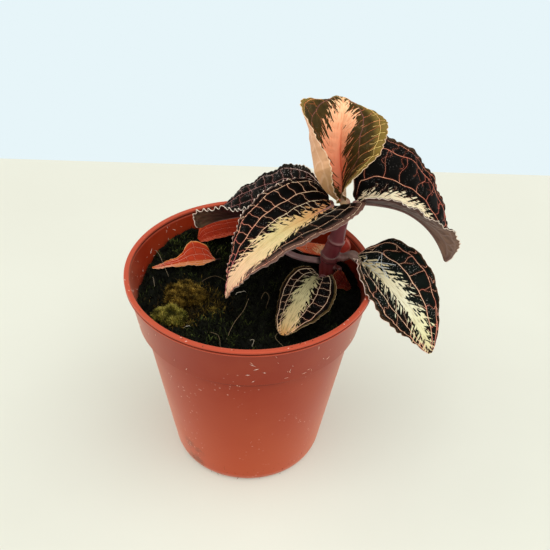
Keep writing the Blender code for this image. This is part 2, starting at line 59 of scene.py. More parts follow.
def joinNode(tree, node, links):
    # a source is a node, a pair of a node and its output, Object for the piece's own coordinates, or the name
    # of a map or a value that the mesh carries
    for key, source in links.items():
        if source == "Object":
            source = (addNode(tree, "TexCoord"), "Object")
        elif source in ("leaf", "feather"):
            source = addNode(tree, "UVMap", {"uv_map": source})
        elif isinstance(source, str):
            source = (addNode(tree, "Attribute", {"attribute_name": source}), "Fac")
        elif not isinstance(source, tuple):
            source = (source, 2 if source.bl_idname == "ShaderNodeMix" else 0)
        other, output = source if isinstance(source, tuple) else (source, 0)
        tree.links.new(other.outputs[output], node.inputs[key])


def addNode(tree, kind, settings=None, links=None):
    # a key that names or numbers an input sets or links that socket, stops fill a ramp, and other keys are
    # properties. A map range goes from inputs 1 and 2 to 3 and 4, and a mix from colour 6 to colour 7
    node = tree.nodes.new("ShaderNode" + kind)
    if kind == "Mix":
        node.data_type = "RGBA"
    for key, value in (settings or {}).items():
        if key == "stops":
            setRamp(node.color_ramp.elements, value)
        elif isinstance(key, int) or key in node.inputs:
            node.inputs[key].default_value = hexColour(value) if isinstance(value, str) else value
        else:
            setattr(node, key, value)
    joinNode(tree, node, links or {})
    return node


def newTree(owner):
    owner.use_nodes = True
    owner.node_tree.nodes.clear()
    return owner.node_tree


def newSkin(name, settings):  # an empty material with a Principled shader, whose constants are set here
    skin = bpy.data.materials.new(name)
    tree = newTree(skin)
    shader = addNode(tree, "BsdfPrincipled", settings)
    addNode(tree, "OutputMaterial", None, {"Surface": shader})
    return skin, tree, shader


def newObject(name, data):
    item = bpy.data.objects.new(name, data)
    bpy.context.scene.collection.objects.link(item)
    return item


def gridFaces(rows, columns, start=0, closed=False, flip=False):
    row = np.arange(rows - 1)[:, None] * columns
    column = np.arange(columns if closed else columns - 1)[None, :]
    after = (column + 1) % columns
    corners = [row + column, row + columns + column, row + columns + after, row + after]
    faces = np.stack([c + start for c in corners], -1).reshape(-1, 4)
    return faces[:, ::-1] if flip else faces


def makePiece(name, shells, skins, nodes=(), sharp=55.0):
    # one object from shells: each has points, blocks of faces with their skins, and values per point
    points, faces, slots = [], [], []
    fields, maps = {}, {}
    count = sum(len(shell["points"]) for shell in shells)
    start = 0
    for shell in shells:
        size = len(shell["points"])
        points.append(shell["points"])
        worn = shell.get("skin", 0)
        for i, block in enumerate(shell["faces"]):
            faces += (np.asarray(block) + start).tolist()
            slots += [worn[i] if isinstance(worn, list) else worn] * len(block)
        for key, values in shell.get("fields", {}).items():
            fields.setdefault(key, np.zeros(count, np.float32))[start:start + size] = values
        for key, values in shell.get("maps", {}).items():
            maps.setdefault(key, np.zeros((count, 2), np.float32))[start:start + size] = values
        start += size
    mesh = bpy.data.meshes.new(name)
    mesh.from_pydata(np.concatenate(points) * mm, [], faces)
    mesh.polygons.foreach_set("material_index", slots)
    for skin in skins:
        mesh.materials.append(skin)
    for key, values in fields.items():
        mesh.attributes.new(key, "FLOAT", "POINT").data.foreach_set("value", values)
    corners = np.zeros(len(mesh.loops), np.int32)
    mesh.loops.foreach_get("vertex_index", corners)
    for key, values in maps.items():
        layer = mesh.uv_layers.new(name=key)
        layer.data.foreach_set("uv", values[corners].ravel())
    mesh.shade_smooth()
    mesh.set_sharp_from_angle(angle=math.radians(sharp))
    mesh.update()
    piece = newObject(name, mesh)
    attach(piece, "root")
    if nodes:
        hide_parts(*nodes)


def unit(vectors):
    return vectors / np.maximum(np.linalg.norm(vectors, axis=-1, keepdims=True), 1e-9)


def compass(turn):  # level directions, turned from the x axis
    return np.stack([np.cos(turn), np.sin(turn), 0 * turn], -1)


def tubeShell(path, radii, sides, fields, flatten=1.0, upward=(0.0, 0.0, 1.0), skin=0):
    # a closed tube along path, flattened towards upward
    radii = np.broadcast_to(np.asarray(radii, float), len(path))
    forward = unit(np.gradient(path, axis=0))
    side = np.cross(forward, np.broadcast_to(np.asarray(upward, float), path.shape))
    weak = np.linalg.norm(side, axis=1) < 0.05
    side[weak] = np.cross(forward[weak], np.array([0.0, 1.0, 0.02]))
    side = unit(side)
    over = np.cross(side, forward)
    angle = np.arange(sides) * math.tau / sides
    flatten = np.broadcast_to(np.asarray(flatten, float), len(path))[:, None, None]
    ring = (np.cos(angle)[None, :, None] * side[:, None]
            + flatten * np.sin(angle)[None, :, None] * over[:, None])
    points = path[:, None] + ring * radii[:, None, None]
    rows = len(path)
    points = np.concatenate([points.reshape(-1, 3), path[:1], path[-1:]])
    first, last = rows * sides, rows * sides + 1
    turn = np.arange(sides)
    after = (turn + 1) % sides
    caps = np.concatenate([np.stack([np.full(sides, first), after, turn], -1),
                           np.stack([np.full(sides, last), turn + (rows - 1) * sides,
                                     after + (rows - 1) * sides], -1)])
    spread = {}
    for key, value in fields.items():
        value = np.broadcast_to(value, rows)
        spread[key] = np.concatenate([np.repeat(value, sides), value[[0, -1]]])
    return {"points": points, "faces": [gridFaces(rows, sides, closed=True, flip=True), caps], "skin": skin,
            "fields": spread}


def bedShell(points, centres, sides, tone):  # rings of points from the inside out, closed above and below
    last = len(points)
    turn = np.arange(sides)
    after = (turn + 1) % sides
    return {"points": np.concatenate([points, centres]), "fields": {"tone": np.full(last + 2, tone)},
            "faces": [gridFaces(last // sides, sides, closed=True),
                      np.stack([np.full(sides, last), turn, after], -1),
                      np.stack([np.full(sides, last + 1), after + last - sides, turn + last - sides], -1)]}


print("frame loaded:", len(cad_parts), "nodes")


halves = (("left", 1.0), ("right", -1.0))


def along(values, share):  # smooth value between equally spaced stations, from base to tip
    values = np.asarray(values, float)
    last = len(values) - 1
    place = np.clip(share, 0.0, 1.0) * last
    i = np.minimum(place.astype(int), last - 1)
    f = place - i
    before, start = values[np.maximum(i - 1, 0)], values[i]
    end, after = values[i + 1], values[np.minimum(i + 2, last)]
    return 0.5 * (2.0 * start + (end - before) * f + (2.0 * before - 5.0 * start + 4.0 * end - after) * f ** 2
                  + (3.0 * start - before - 3.0 * end + after) * f ** 3)


def midribFrame(leaf, share):  # points of the midrib with its forward, left and upper directions
    fine = np.linspace(0.0, 1.0, 201)

    def forwardAt(t):
        heading, pitch = (np.radians(along(leaf[key], t)) for key in ("heading", "pitch"))
        return np.stack([np.cos(pitch) * np.cos(heading), np.cos(pitch) * np.sin(heading), np.sin(pitch)], -1)

    steps = forwardAt(fine)
    steps = 0.5 * (steps[1:] + steps[:-1]) * leaf["length"] / (len(fine) - 1)
    path = np.array(leaf["base"]) + np.concatenate([np.zeros((1, 3)), np.cumsum(steps, axis=0)])
    points = np.stack([np.interp(share, fine, path[:, axis]) for axis in range(3)], -1)
    heading, roll = (np.radians(along(leaf[key], share)) for key in ("heading", "roll"))
    forward = forwardAt(share)
    level = np.stack([-np.sin(heading), np.cos(heading), 0.0 * heading], -1)
    upright = np.cross(forward, level)
    left = np.cos(roll)[:, None] * level + np.sin(roll)[:, None] * upright
    upper = np.cos(roll)[:, None] * upright - np.sin(roll)[:, None] * level
    return points, forward, left, upper


def halfWidth(leaf, side, share):
    # in millimetres, at each share of the midrib: from the outline of that half, or else from the leaf's
    # fullness towards its base and tip, narrowed as far up as the neck and never under its foot
    half = leaf[side]
    if "outline" in half:
        return np.hypot(half["width"] * np.maximum(along(half["outline"], share), 0.0), half["foot"])
    rise, fall = leaf["fullness"]
    peak = rise / (rise + fall)
    outline = (np.clip(share, 0.0, 1.0) ** rise * np.clip(1.0 - share, 0.0, 1.0) ** fall
               / (peak ** rise * (1.0 - peak) ** fall))
    neck = np.clip(share / half["neck"], 0.0, 1.0) ** 0.7
    return np.hypot(half["width"] * outline * neck, half["foot"])


def bladeSpots(leaf, share, across):
    # points of the blade: share runs from base to tip, across from 1 at the left margin to -1 at the right.
    # Each half rises from the midrib at its fold, turns on by its curl, and leans back by its sweep
    share, across = np.broadcast_arrays(np.asarray(share, float), np.asarray(across, float))
    shape = share.shape
    t, s = share.ravel(), across.ravel()
    centre, forward, left, upper = midribFrame(leaf, t)
    spots = centre.copy()
    for side, sign in halves:
        half = leaf[side]
        here = s * sign > 0.0
        tt, out = t[here], np.abs(s[here])
        width = halfWidth(leaf, side, tt)
        ease = np.clip(1.0 - tt / 0.45, 0.0, 1.0)
        sweep = np.radians(half["sweep"]) * ease ** 2 * (3.0 - 2.0 * ease)
        outward = sign * left[here] * np.cos(sweep)[:, None] - forward[here] * np.sin(sweep)[:, None]
        bend = np.clip(width / 5.0, 0.25, 1.0)  # a narrow part bends less
        fold = np.radians(along(half["fold"], tt)) * bend
        curl = np.radians(along(half["curl"], tt)) * bend
        curl = np.where(np.abs(curl) < 1e-3, 1e-3, curl)
        flat = width * (np.sin(fold + curl * out) - np.sin(fold)) / curl
        rise = width * (np.cos(fold) - np.cos(fold + curl * out)) / curl
        calm = np.sin(math.pi * np.clip(tt, 0.0, 1.0))
        rise = rise + leaf["wave"] * calm * out ** 2 * np.sin(
            math.tau * leaf["waves"] * tt + (0.0 if side == "left" else 1.5))
        # the real margin is crimped: short ruffles that fade within a few millimetres of it
        crimp = half.get("crimp", leaf["crimp"])
        place = tt * leaf["length"] / crimp["pitch"] * math.tau
        place = place + 1.1 * np.sin(place * 0.23 + leaf["seed"]) + 0.7 * np.sin(place * 0.61)
        reach = np.exp(-(1.0 - out) * width / crimp["depth"]) * np.clip(calm * 3.0, 0.0, 1.0)
        rise = rise + crimp["rise"] * reach * np.sin(place)
        flat = flat + crimp["scallop"] * reach * np.cos(place)
        spots[here] += flat[:, None] * outward + rise[:, None] * upper[here]
    return spots.reshape(*shape, 3)


def bladeNormals(leaf, share, across):  # unit normals on the upper side, from small steps either way
    low, high = np.clip(share - 0.002, 0.001, 0.999), np.clip(share + 0.002, 0.001, 0.999)
    onward = bladeSpots(leaf, high, across) - bladeSpots(leaf, low, across)
    inner, outer = np.clip(across - 0.01, -1.0, 1.0), np.clip(across + 0.01, -1.0, 1.0)
    leftward = bladeSpots(leaf, share, outer) - bladeSpots(leaf, share, inner)
    return unit(np.cross(onward, leftward))


def veinRoutes(leaf, chance):
    # long veins run from base to tip, and rungs join them like a ladder, some with a fork
    routes = []
    for side, sign in halves:
        veins = leaf[side].get("veins", leaf.get("veins"))
        for place, first, last, width, tone in veins["long"]:
            t = np.linspace(first, last, 70)
            wander = (0.012 * np.sin(t * 23.0 + chance.uniform(0, 6))
                      + 0.008 * np.sin(t * 51.0 + chance.uniform(0, 6)))
            taper = np.clip(np.minimum(t - first, last - t) / 0.06, 0.35, 1.0)
            s = np.clip(place + wander * (place < 0.97), 0.02, 1.0)
            routes.append((t, sign * s, width * taper, tone))
        for inner, outer, count, first, last, slant, width, tone, forks in veins["rungs"]:
            for i in range(count):
                t0 = first + (last - first) * (i + 0.5 + chance.uniform(-0.16, 0.16)) / count
                f = np.linspace(0.0, 1.0, 13)
                kink = chance.uniform(-1.0, 1.0) * 0.005 * leaf["wander"]
                t = (t0 + slant * f + kink * np.sin(f * math.pi * 2)
                     + 0.003 * np.sin(f * 9.0 + chance.uniform(0, 6)))
                s = inner + (outer - inner) * f
                narrow = width * (1.0 - 0.25 * np.sin(f * math.pi))
                if chance.rand() < forks:  # a fork: the rung splits half way, and one arm stops short
                    cut = chance.randint(4, 8)
                    arm = np.linspace(0.0, 1.0, 8)
                    away = chance.choice([-1.0, 1.0]) * chance.uniform(0.03, 0.055)
                    stop = chance.uniform(0.55, 1.0)
                    armT = np.clip(t[cut] + away * arm ** 0.8, 0.01, 0.985)
                    armS = s[cut] + (outer - s[cut]) * arm * stop
                    routes.append((armT, sign * armS, narrow[cut] * (1.0 - 0.45 * arm), tone))
                routes.append((np.clip(t, 0.01, 0.985), sign * s, narrow, tone))
    return routes


def veinShell(leaf, route, lift, skin):  # a low ridge that follows the blade, four points round
    t, s, width, tone = route
    spots = bladeSpots(leaf, t, s)
    normal = bladeNormals(leaf, t, s)
    forward = unit(np.gradient(spots, axis=0))
    side = unit(np.cross(normal, forward))
    width = np.broadcast_to(width, t.shape)[:, None]
    base = spots + normal * lift
    ring = np.stack([base + side * width * 0.5, base + normal * (0.09 + 0.12 * width),
                     base - side * width * 0.5, base - normal * 0.14], axis=1)
    rows = len(t)
    ends = np.array([[0, 1, 2, 3], [4 * rows - 1, 4 * rows - 2, 4 * rows - 3, 4 * rows - 4]])
    shade = np.clip(tone + leaf["drift"] * (t - 0.4), 0.0, 1.0)  # veins darken towards the tip
    return {"points": ring.reshape(-1, 3), "skin": skin, "faces": [gridFaces(rows, 4, closed=True), ends],
            "fields": {"tone": np.repeat(shade, 4)}}


def bladeShells(leaf):
    # the quilted blade with both faces and its rim, then its veins and margin lines
    even = 0.5 * (1.0 - np.cos(np.linspace(0.0, math.pi, leaf["rows"])))
    share = 0.008 + (0.994 - 0.008) * (0.55 * even + 0.45 * np.linspace(0.0, 1.0, leaf["rows"]))
    step = np.linspace(0.0, 1.0, leaf["columns"] + 1) ** 0.85
    across = np.concatenate([step[::-1], -step[1:]])
    t, s = np.meshgrid(share, across, indexing="ij")
    middle = bladeSpots(leaf, t, s)
    normal = bladeNormals(leaf, t, s)
    width = np.where(s >= 0.0, halfWidth(leaf, "left", t), halfWidth(leaf, "right", t))
    routes = veinRoutes(leaf, np.random.RandomState(leaf["seed"]))
    # the distance from each point of the blade to its nearest vein or to the midrib
    lines = []
    for route in routes:
        count = len(route[0])
        fine = np.linspace(0, count - 1, count * 3)
        lines.append(bladeSpots(leaf, *(np.interp(fine, np.arange(count), values) for values in route[:2])))
    lines = np.concatenate([*lines, bladeSpots(leaf, share, 0.0 * share)])
    tree = KDTree(len(lines))
    for number, spot in enumerate(lines):
        tree.insert(spot, number)
    tree.balance()
    near = np.array([tree.find(spot)[2] for spot in middle.reshape(-1, 3)]).reshape(t.shape)
    edge = (1.0 - np.abs(s)) * width
    # quilting: the blade swells between its veins
    swell = leaf["quilt"] * (1.0 - np.exp(-(near / 0.9) ** 2)) * np.clip(edge / 0.8, 0.0, 1.0)
    thick = 0.22 + 0.16 * np.clip(edge / 2.0, 0.0, 1.0)
    top = middle + normal * (swell + thick * 0.5)[..., None]
    bottom = middle + normal * (swell * 0.8 - thick * 0.5)[..., None]
    rows, columns = t.shape
    run, signed = (t * leaf["length"]).ravel(), (s * width).ravel()
    blotch = np.zeros_like(t)  # millimetres inside the edge of the middle band
    for side, sign in halves:
        here = s * sign >= 0.0
        blotch[here] = (along(leaf[side]["blotch"], t[here]) - np.abs(s[here])) * width[here]
    # border makes the brown rim of one half broader or narrower
    border = np.where(s >= 0.0, leaf["left"]["border"], leaf["right"]["border"])
    fields = {"along": t, "edge": edge / border, "blotch": blotch, "vein": near}
    maps = {"leaf": np.stack([run, signed], -1),
            "feather": np.stack([run - 1.1 * np.abs(signed), signed], -1)}
    under = rows * columns
    ringIndex = np.concatenate([np.arange(columns), np.arange(1, rows) * columns + columns - 1,
                                (rows - 1) * columns + np.arange(columns - 2, -1, -1),
                                np.arange(rows - 2, 0, -1) * columns])
    after = np.roll(ringIndex, -1)
    rim = np.stack([ringIndex, after, after + under, ringIndex + under], -1)
    shells = [{"points": np.concatenate([top.reshape(-1, 3), bottom.reshape(-1, 3)]),
               "faces": [gridFaces(rows, columns), gridFaces(rows, columns, start=under, flip=True), rim],
               "skin": [0, 1, 1],
               "fields": {key: np.tile(value.ravel(), 2) for key, value in fields.items()},
               "maps": {key: np.tile(value, (2, 1)) for key, value in maps.items()}}]
    shells += [veinShell(leaf, route, 0.11, 2) for route in routes]
    margin = np.linspace(0.012, 0.99, leaf["rows"] * 2)
    for side, sign in halves:
        line = leaf[side].get("margin", leaf["margin"])
        shells.append(veinShell(leaf, (margin, np.full(len(margin), sign * 0.995), *line), 0.0, 3))
    return shells


def stalkShells(leaf):
    # the petiole, from a foot that clasps the stem, then its run as a rib under the blade
    seat, away, base = (np.array(leaf[key]) for key in ("seat", "away", "base"))
    forward = midribFrame(leaf, np.array([0.0]))[1][0]
    start = seat + away * 0.8
    reach = np.linalg.norm(base - start)
    entry = np.array(leaf.get("entry", forward))
    handles = (start, start + away * reach * 0.5, base - entry * reach * 0.3, base)
    t = np.linspace(0.0, 1.0, 18)[:-1, None]
    pulls = ((1 - t) ** 3, 3 * t * (1 - t) ** 2, 3 * t ** 2 * (1 - t), t ** 3)
    curve = sum(pull * handle for pull, handle in zip(pulls, handles))
    foot = np.linspace(-1.6, 0.6, 5)[:, None] * away + seat
    flare = leaf["petiole"] * 0.5 * (1.0 + leaf["flare"] * np.exp(-np.arange(5) / 2.2))
    share = np.linspace(0.012, 0.93, 40)
    points, _, _, upper = midribFrame(leaf, share)
    fade = np.clip(share / 0.42, 0.0, 1.0)
    radius = np.where(share < 0.42, 0.4 * leaf["petiole"] * (1 - fade) + 0.42 * fade,
                      0.42 - 0.24 * (share - 0.42) / 0.5)
    drop = (radius - 0.1) * np.minimum(1.0, 2.0 * fade)
    rib = points - upper * drop[:, None]
    path = np.concatenate([foot, curve, rib])
    radii = np.concatenate([flare, np.linspace(0.5, 0.4, len(curve)) * leaf["petiole"], radius])
    over = np.concatenate([np.repeat(upper[:1], len(foot) + len(curve), axis=0), upper])
    # a winged petiole broadens and flattens where it runs into the blade
    wing = leaf["wing"] * np.concatenate([np.zeros(len(foot)), np.linspace(0.0, 1.0, len(curve)) ** 1.5,
                                          np.clip(1 - share / 0.2, 0, 1)])
    shells = [tubeShell(path, radii * (1.0 + wing), 18, {"along": np.linspace(0.0, 1.0, len(path))},
                        0.86 / (1.0 + 1.3 * wing), over, 4)]
    if "sheath" in leaf:  # its foot wraps the stem in a band with a pale edge
        form = leaf["sheath"]
        turn = np.radians(np.linspace(form["turn"][0], form["turn"][1], 48))
        height = form["height"] + form["droop"] * np.sin((turn - turn[0]) / (turn[-1] - turn[0]) * math.pi)
        ring = compass(turn)
        above = np.array([0.0, 0.0, 1.0])
        band = np.array([*form["centre"], 0.0]) + ring * form["radius"] + height[:, None] * above
        ends = np.clip(np.minimum(np.arange(48), np.arange(47, -1, -1)) / 8.0, 0.25, 1.0)
        shells.append(tubeShell(band, 1.2 * ends, 16, {"along": 0.02}, 0.34, ring, 4))
        edge = band + ring * 0.25 + 1.05 * above * ends[:, None]
        shells.append(tubeShell(edge, 0.17 * ends, 8, {"along": 0.3}, 1.0, ring, 4))
    return shells


smooth = {"interpolation_type": "SMOOTHSTEP"}


def laminaSkin(name, look):
    # Upper face of a living leaf: waxy cells that give a soft satin gloss, with a pale feathered band
    # along the midrib. The leaf map holds millimetres along and across the blade.
    skin, tree, shader = newSkin(name, {"Roughness": look["gloss"], "IOR": 1.4, "Specular IOR Level": 0.03})
    # spikes about 1.3 mm apart feather the band's edge, leaning towards the tip
    comb = addNode(tree, "Mapping", {"Scale": (1 / look["spikePitch"], 0.14, 1.0)}, {"Vector": "feather"})
    spikes = addNode(tree, "TexNoise", {"noise_dimensions": "2D", "Scale": 1.0, "Detail": 2.5,
                                        "Roughness": 0.62}, {"Vector": comb})
    reach = addNode(tree, "MapRange", {"clamp": False, 1: 0.36, 2: 0.64, 3: -look["spike"],
                                       4: look["spike"]}, {0: spikes})
    field = addNode(tree, "Math", {"operation": "ADD"}, {0: "blotch", 1: reach})
    inBand = addNode(tree, "MapRange", {**smooth, 1: -0.2, 2: 0.25}, {0: field})
    # dark windows, 3 by 1 mm, pierce the band near its edge
    panes = addNode(tree, "Mapping", {"Scale": (1 / look["pane"][0], 1 / look["pane"][1], 1.0)},
                    {"Vector": "feather"})
    cells = addNode(tree, "TexVoronoi", {"voronoi_dimensions": "2D", "Scale": 1.0, "Randomness": 0.85},
                    {"Vector": panes})
    hole = addNode(tree, "MapRange", {**smooth, 1: look["paneSize"] + 0.06, 2: look["paneSize"]}, {0: cells})
    nearEdge = addNode(tree, "MapRange", {**smooth, 1: look["paneDepth"], 2: look["paneDepth"] * 0.6},
                       {0: "blotch"})
    pane = addNode(tree, "Math", {"operation": "MULTIPLY"}, {0: hole, 1: nearEdge})
    whole = addNode(tree, "Math", {"operation": "SUBTRACT", 0: 1.0}, {1: pane})
    paint = addNode(tree, "Math", {"operation": "MULTIPLY", "use_clamp": True}, {0: inBand, 1: whole})
    # ground: nearly black cells, a brown border and a warm halo beside each vein
    cloud = addNode(tree, "TexNoise", {"noise_dimensions": "2D", "Scale": 0.45, "Detail": 4.0},
                    {"Vector": "leaf"})
    ground = addNode(tree, "Mix", {6: look["ground"][0], 7: look["ground"][1]}, {0: cloud})
    rim = addNode(tree, "MapRange", {**smooth, 1: look["borderWidth"], 2: look["borderWidth"] * 0.35},
                  {0: "edge"})
    bordered = addNode(tree, "Mix", {7: look["border"]}, {0: rim, 6: ground})
    halo = addNode(tree, "MapRange", {**smooth, 1: 0.75, 2: 0.15, 4: look["haloStrength"]}, {0: "vein"})
    warmed = addNode(tree, "Mix", {7: look["halo"]}, {0: halo, 6: bordered})
    # band: colours from base to tip, with fine streaks along the veins
    bandColour = addNode(tree, "ValToRGB", {"stops": look["band"]}, {0: "along"})
    grain = addNode(tree, "Mapping", {"Scale": (0.28, 2.6, 1.0)}, {"Vector": "leaf"})
    streaks = addNode(tree, "TexNoise", {"noise_dimensions": "2D", "Scale": 1.0, "Detail": 3.0,
                                         "Roughness": 0.6}, {"Vector": grain})
    streak = addNode(tree, "MapRange", {1: 0.5, 2: 0.72, 4: look["streakStrength"]}, {0: streaks})
    striped = addNode(tree, "Mix", {7: look["streak"]}, {0: streak, 6: bandColour})
    painted = addNode(tree, "Mix", None, {0: paint, 6: warmed, 7: striped})
    # painted highlights: tiny specks of painted glint on the dark ground, drawn 0.25 mm wide so that they
    # show
    dots = addNode(tree, "TexVoronoi", {"voronoi_dimensions": "2D", "Scale": 1.15}, {"Vector": "leaf"})
    dot = addNode(tree, "MapRange", {1: 0.17, 2: 0.11}, {0: dots})
    patch = addNode(tree, "TexNoise", {"noise_dimensions": "2D", "Scale": 0.22, "Detail": 1.0},
                    {"Vector": "leaf"})
    patchy = addNode(tree, "MapRange", {1: 0.48, 2: 0.62, 4: look["glint"]}, {0: patch})
    glint = addNode(tree, "Math", {"operation": "MULTIPLY"}, {0: dot, 1: patchy})
    final = addNode(tree, "Mix", {7: "#cfc6c0"}, {0: glint, 6: painted})
    # skin cells, drawn at 0.4 mm, roughen the gloss
    cellsFine = addNode(tree, "TexVoronoi", {"voronoi_dimensions": "2D", "Scale": 2.4}, {"Vector": "leaf"})
    bump = addNode(tree, "Bump", {"Strength": 0.25, "Distance": 0.0001}, {"Height": cellsFine})
    joinNode(tree, shader, {"Base Color": final, "Normal": bump})
    return skin


def undersideSkin(name, look):
    # Lower face: matt and paler, with the veins showing through as faint lines.
    skin, tree, shader = newSkin(name, {"Roughness": 0.55, "IOR": 1.4, "Specular IOR Level": 0.3})
    colour = addNode(tree, "ValToRGB", {"stops": look["under"]}, {0: "along"})
    grain = addNode(tree, "Mapping", {"Scale": (0.12, 0.5, 1.0)}, {"Vector": "leaf"})
    cloud = addNode(tree, "TexNoise", {"noise_dimensions": "2D", "Scale": 1.0, "Detail": 5.0},
                    {"Vector": grain})
    shade = addNode(tree, "MapRange", {1: 0.35, 2: 0.7, 4: 0.55}, {0: cloud})
    tinted = addNode(tree, "Mix", {7: look["underTint"]}, {0: shade, 6: colour})
    line = addNode(tree, "MapRange", {**smooth, 1: 0.5, 2: 0.1, 4: 0.45}, {0: "vein"})
    lined = addNode(tree, "Mix", {7: look["underVein"]}, {0: line, 6: tinted})
    bump = addNode(tree, "Bump", {"Strength": 0.2, "Distance": 0.0002}, {"Height": cloud})
    joinNode(tree, shader, {"Base Color": lined, "Normal": bump})
    return skin


def veinSkin(name, stops, gloss=0.4):
    # Veins are bundles of clear cells over pigment: pale, glossy and a little uneven in colour.
    skin, tree, shader = newSkin(name, {"Roughness": gloss, "IOR": 1.4, "Specular IOR Level": 0.3})
    cloud = addNode(tree, "TexNoise", {"Scale": 260.0, "Detail": 2.0}, {"Vector": "Object"})
    vary = addNode(tree, "MapRange", {1: 0.3, 2: 0.7, 3: -0.16, 4: 0.16}, {0: cloud})
    mixed = addNode(tree, "Math", {"operation": "ADD", "use_clamp": True}, {0: "tone", 1: vary})
    colour = addNode(tree, "ValToRGB", {"stops": stops}, {0: mixed})
    joinNode(tree, shader, {"Base Color": colour})
    return skin


def stalkSkin(name, stops):
    # Petioles are juicy and smooth: wine red to pinkish brown, with fine paler flecks.
    skin, tree, shader = newSkin(name, {"Roughness": 0.36, "IOR": 1.4, "Subsurface Weight": 0.08,
                                        "Subsurface Radius": (0.003, 0.001, 0.0007), "Subsurface Scale": 0.4})
    colour = addNode(tree, "ValToRGB", {"stops": stops}, {0: "along"})
    cloud = addNode(tree, "TexNoise", {"Scale": 420.0, "Detail": 3.0}, {"Vector": "Object"})
    fleck = addNode(tree, "MapRange", {1: 0.45, 2: 0.75, 4: 0.5}, {0: cloud})
    dusted = addNode(tree, "Mix", {7: "#b08d84"}, {0: fleck, 6: colour})
    joinNode(tree, shader, {"Base Color": dusted})
    return skin


darkLook = {
    "gloss": 0.42, "spikePitch": 1.3, "spike": 1.5, "pane": (3.0, 1.1), "paneSize": 0.2, "paneDepth": 1.6,
    "ground": ("#030303", "#0c0a08"), "border": "#3b2a1a", "borderWidth": 1.8, "halo": "#34170f",
    "haloStrength": 0.55, "band": ((0.0, "#d99a63"), (0.35, "#d9cf9f"), (0.8, "#dcc9a2"), (1.0, "#d8a987")),
    "streak": "#9a8c58", "streakStrength": 0.6, "glint": 0.1,
    "under": ((0.0, "#6a4a44"), (1.0, "#7a5f58")), "underTint": "#43302d", "underVein": "#8f7670",
    "veins": ((0.0, "#f2e0bc"), (0.4, "#eab592"), (0.7, "#dc7c66"), (1.0, "#bb6276")),
    "margin": ((0.0, "#f6ecdc"), (1.0, "#e6b8a8")),
    "stalk": ((0.0, "#6b3c3d"), (0.4, "#8a6460"), (1.0, "#6e4f4a")),
}
redLook = {
    "gloss": 0.45, "spike": 0.3, "ground": ("#9a2c1a", "#b03c22"), "border": "#b84a28", "borderWidth": 1.0,
    "halo": "#8a2416", "haloStrength": 0.3, "glint": 0.0, "band": ((0.0, "#b84a2c"), (1.0, "#b84a2c")),
    "streak": "#c05a38", "veins": ((0.0, "#eab49a"), (0.5, "#df9478"), (1.0, "#c87458")),
    "margin": ((0.0, "#e8a888"), (1.0, "#dd9070")),
    "under": ((0.0, "#b8552c"), (1.0, "#c86a38")), "underTint": "#a04422", "underVein": "#e0955e",
    "stalk": ((0.0, "#331518"), (0.05, "#331518"), (0.08, "#8a6a6c"), (0.4, "#94706c"), (1.0, "#a8503c")),
}
redVeins = {"long": ((0.32, 0.03, 0.96, 0.3, 0.3), (0.68, 0.03, 0.97, 0.28, 0.3)),
            "rungs": ((0.03, 0.32, 6, 0.1, 0.9, 0.02, 0.24, 0.3, 0.0),
                      (0.32, 0.68, 6, 0.1, 0.9, 0.02, 0.24, 0.3, 0.0),
                      (0.68, 0.96, 4, 0.2, 0.9, 0.02, 0.22, 0.3, 0.0))}
leafUsual = {
    "rows": 220, "columns": 44, "slot": "leaf_dark", "roll": (0, 0, 0), "waves": 6,
    "quilt": 0.3, "crimp": {"pitch": 2.1, "depth": 1.6, "rise": 0.28, "scallop": 0.22}, "wander": 1.0,
    "drift": 0.3, "flare": 0.3, "wing": 0.0,
}
leafWhenOld = {
    "rows": leafUsual["rows"] // 2, "columns": 16, "slot": "leaf_old", "waves": 3, "veins": redVeins,
    "margin": (0.24, 0.4), "crimp": {"pitch": 2.6, "depth": 1.0, "rise": 0.1, "scallop": 0.08},
}
halfUsual = {"sweep": 0, "neck": 0.001, "foot": 0.4, "border": 1.0, "blotch": (0.05, 0.05, 0.05, 0.05, 0.05)}

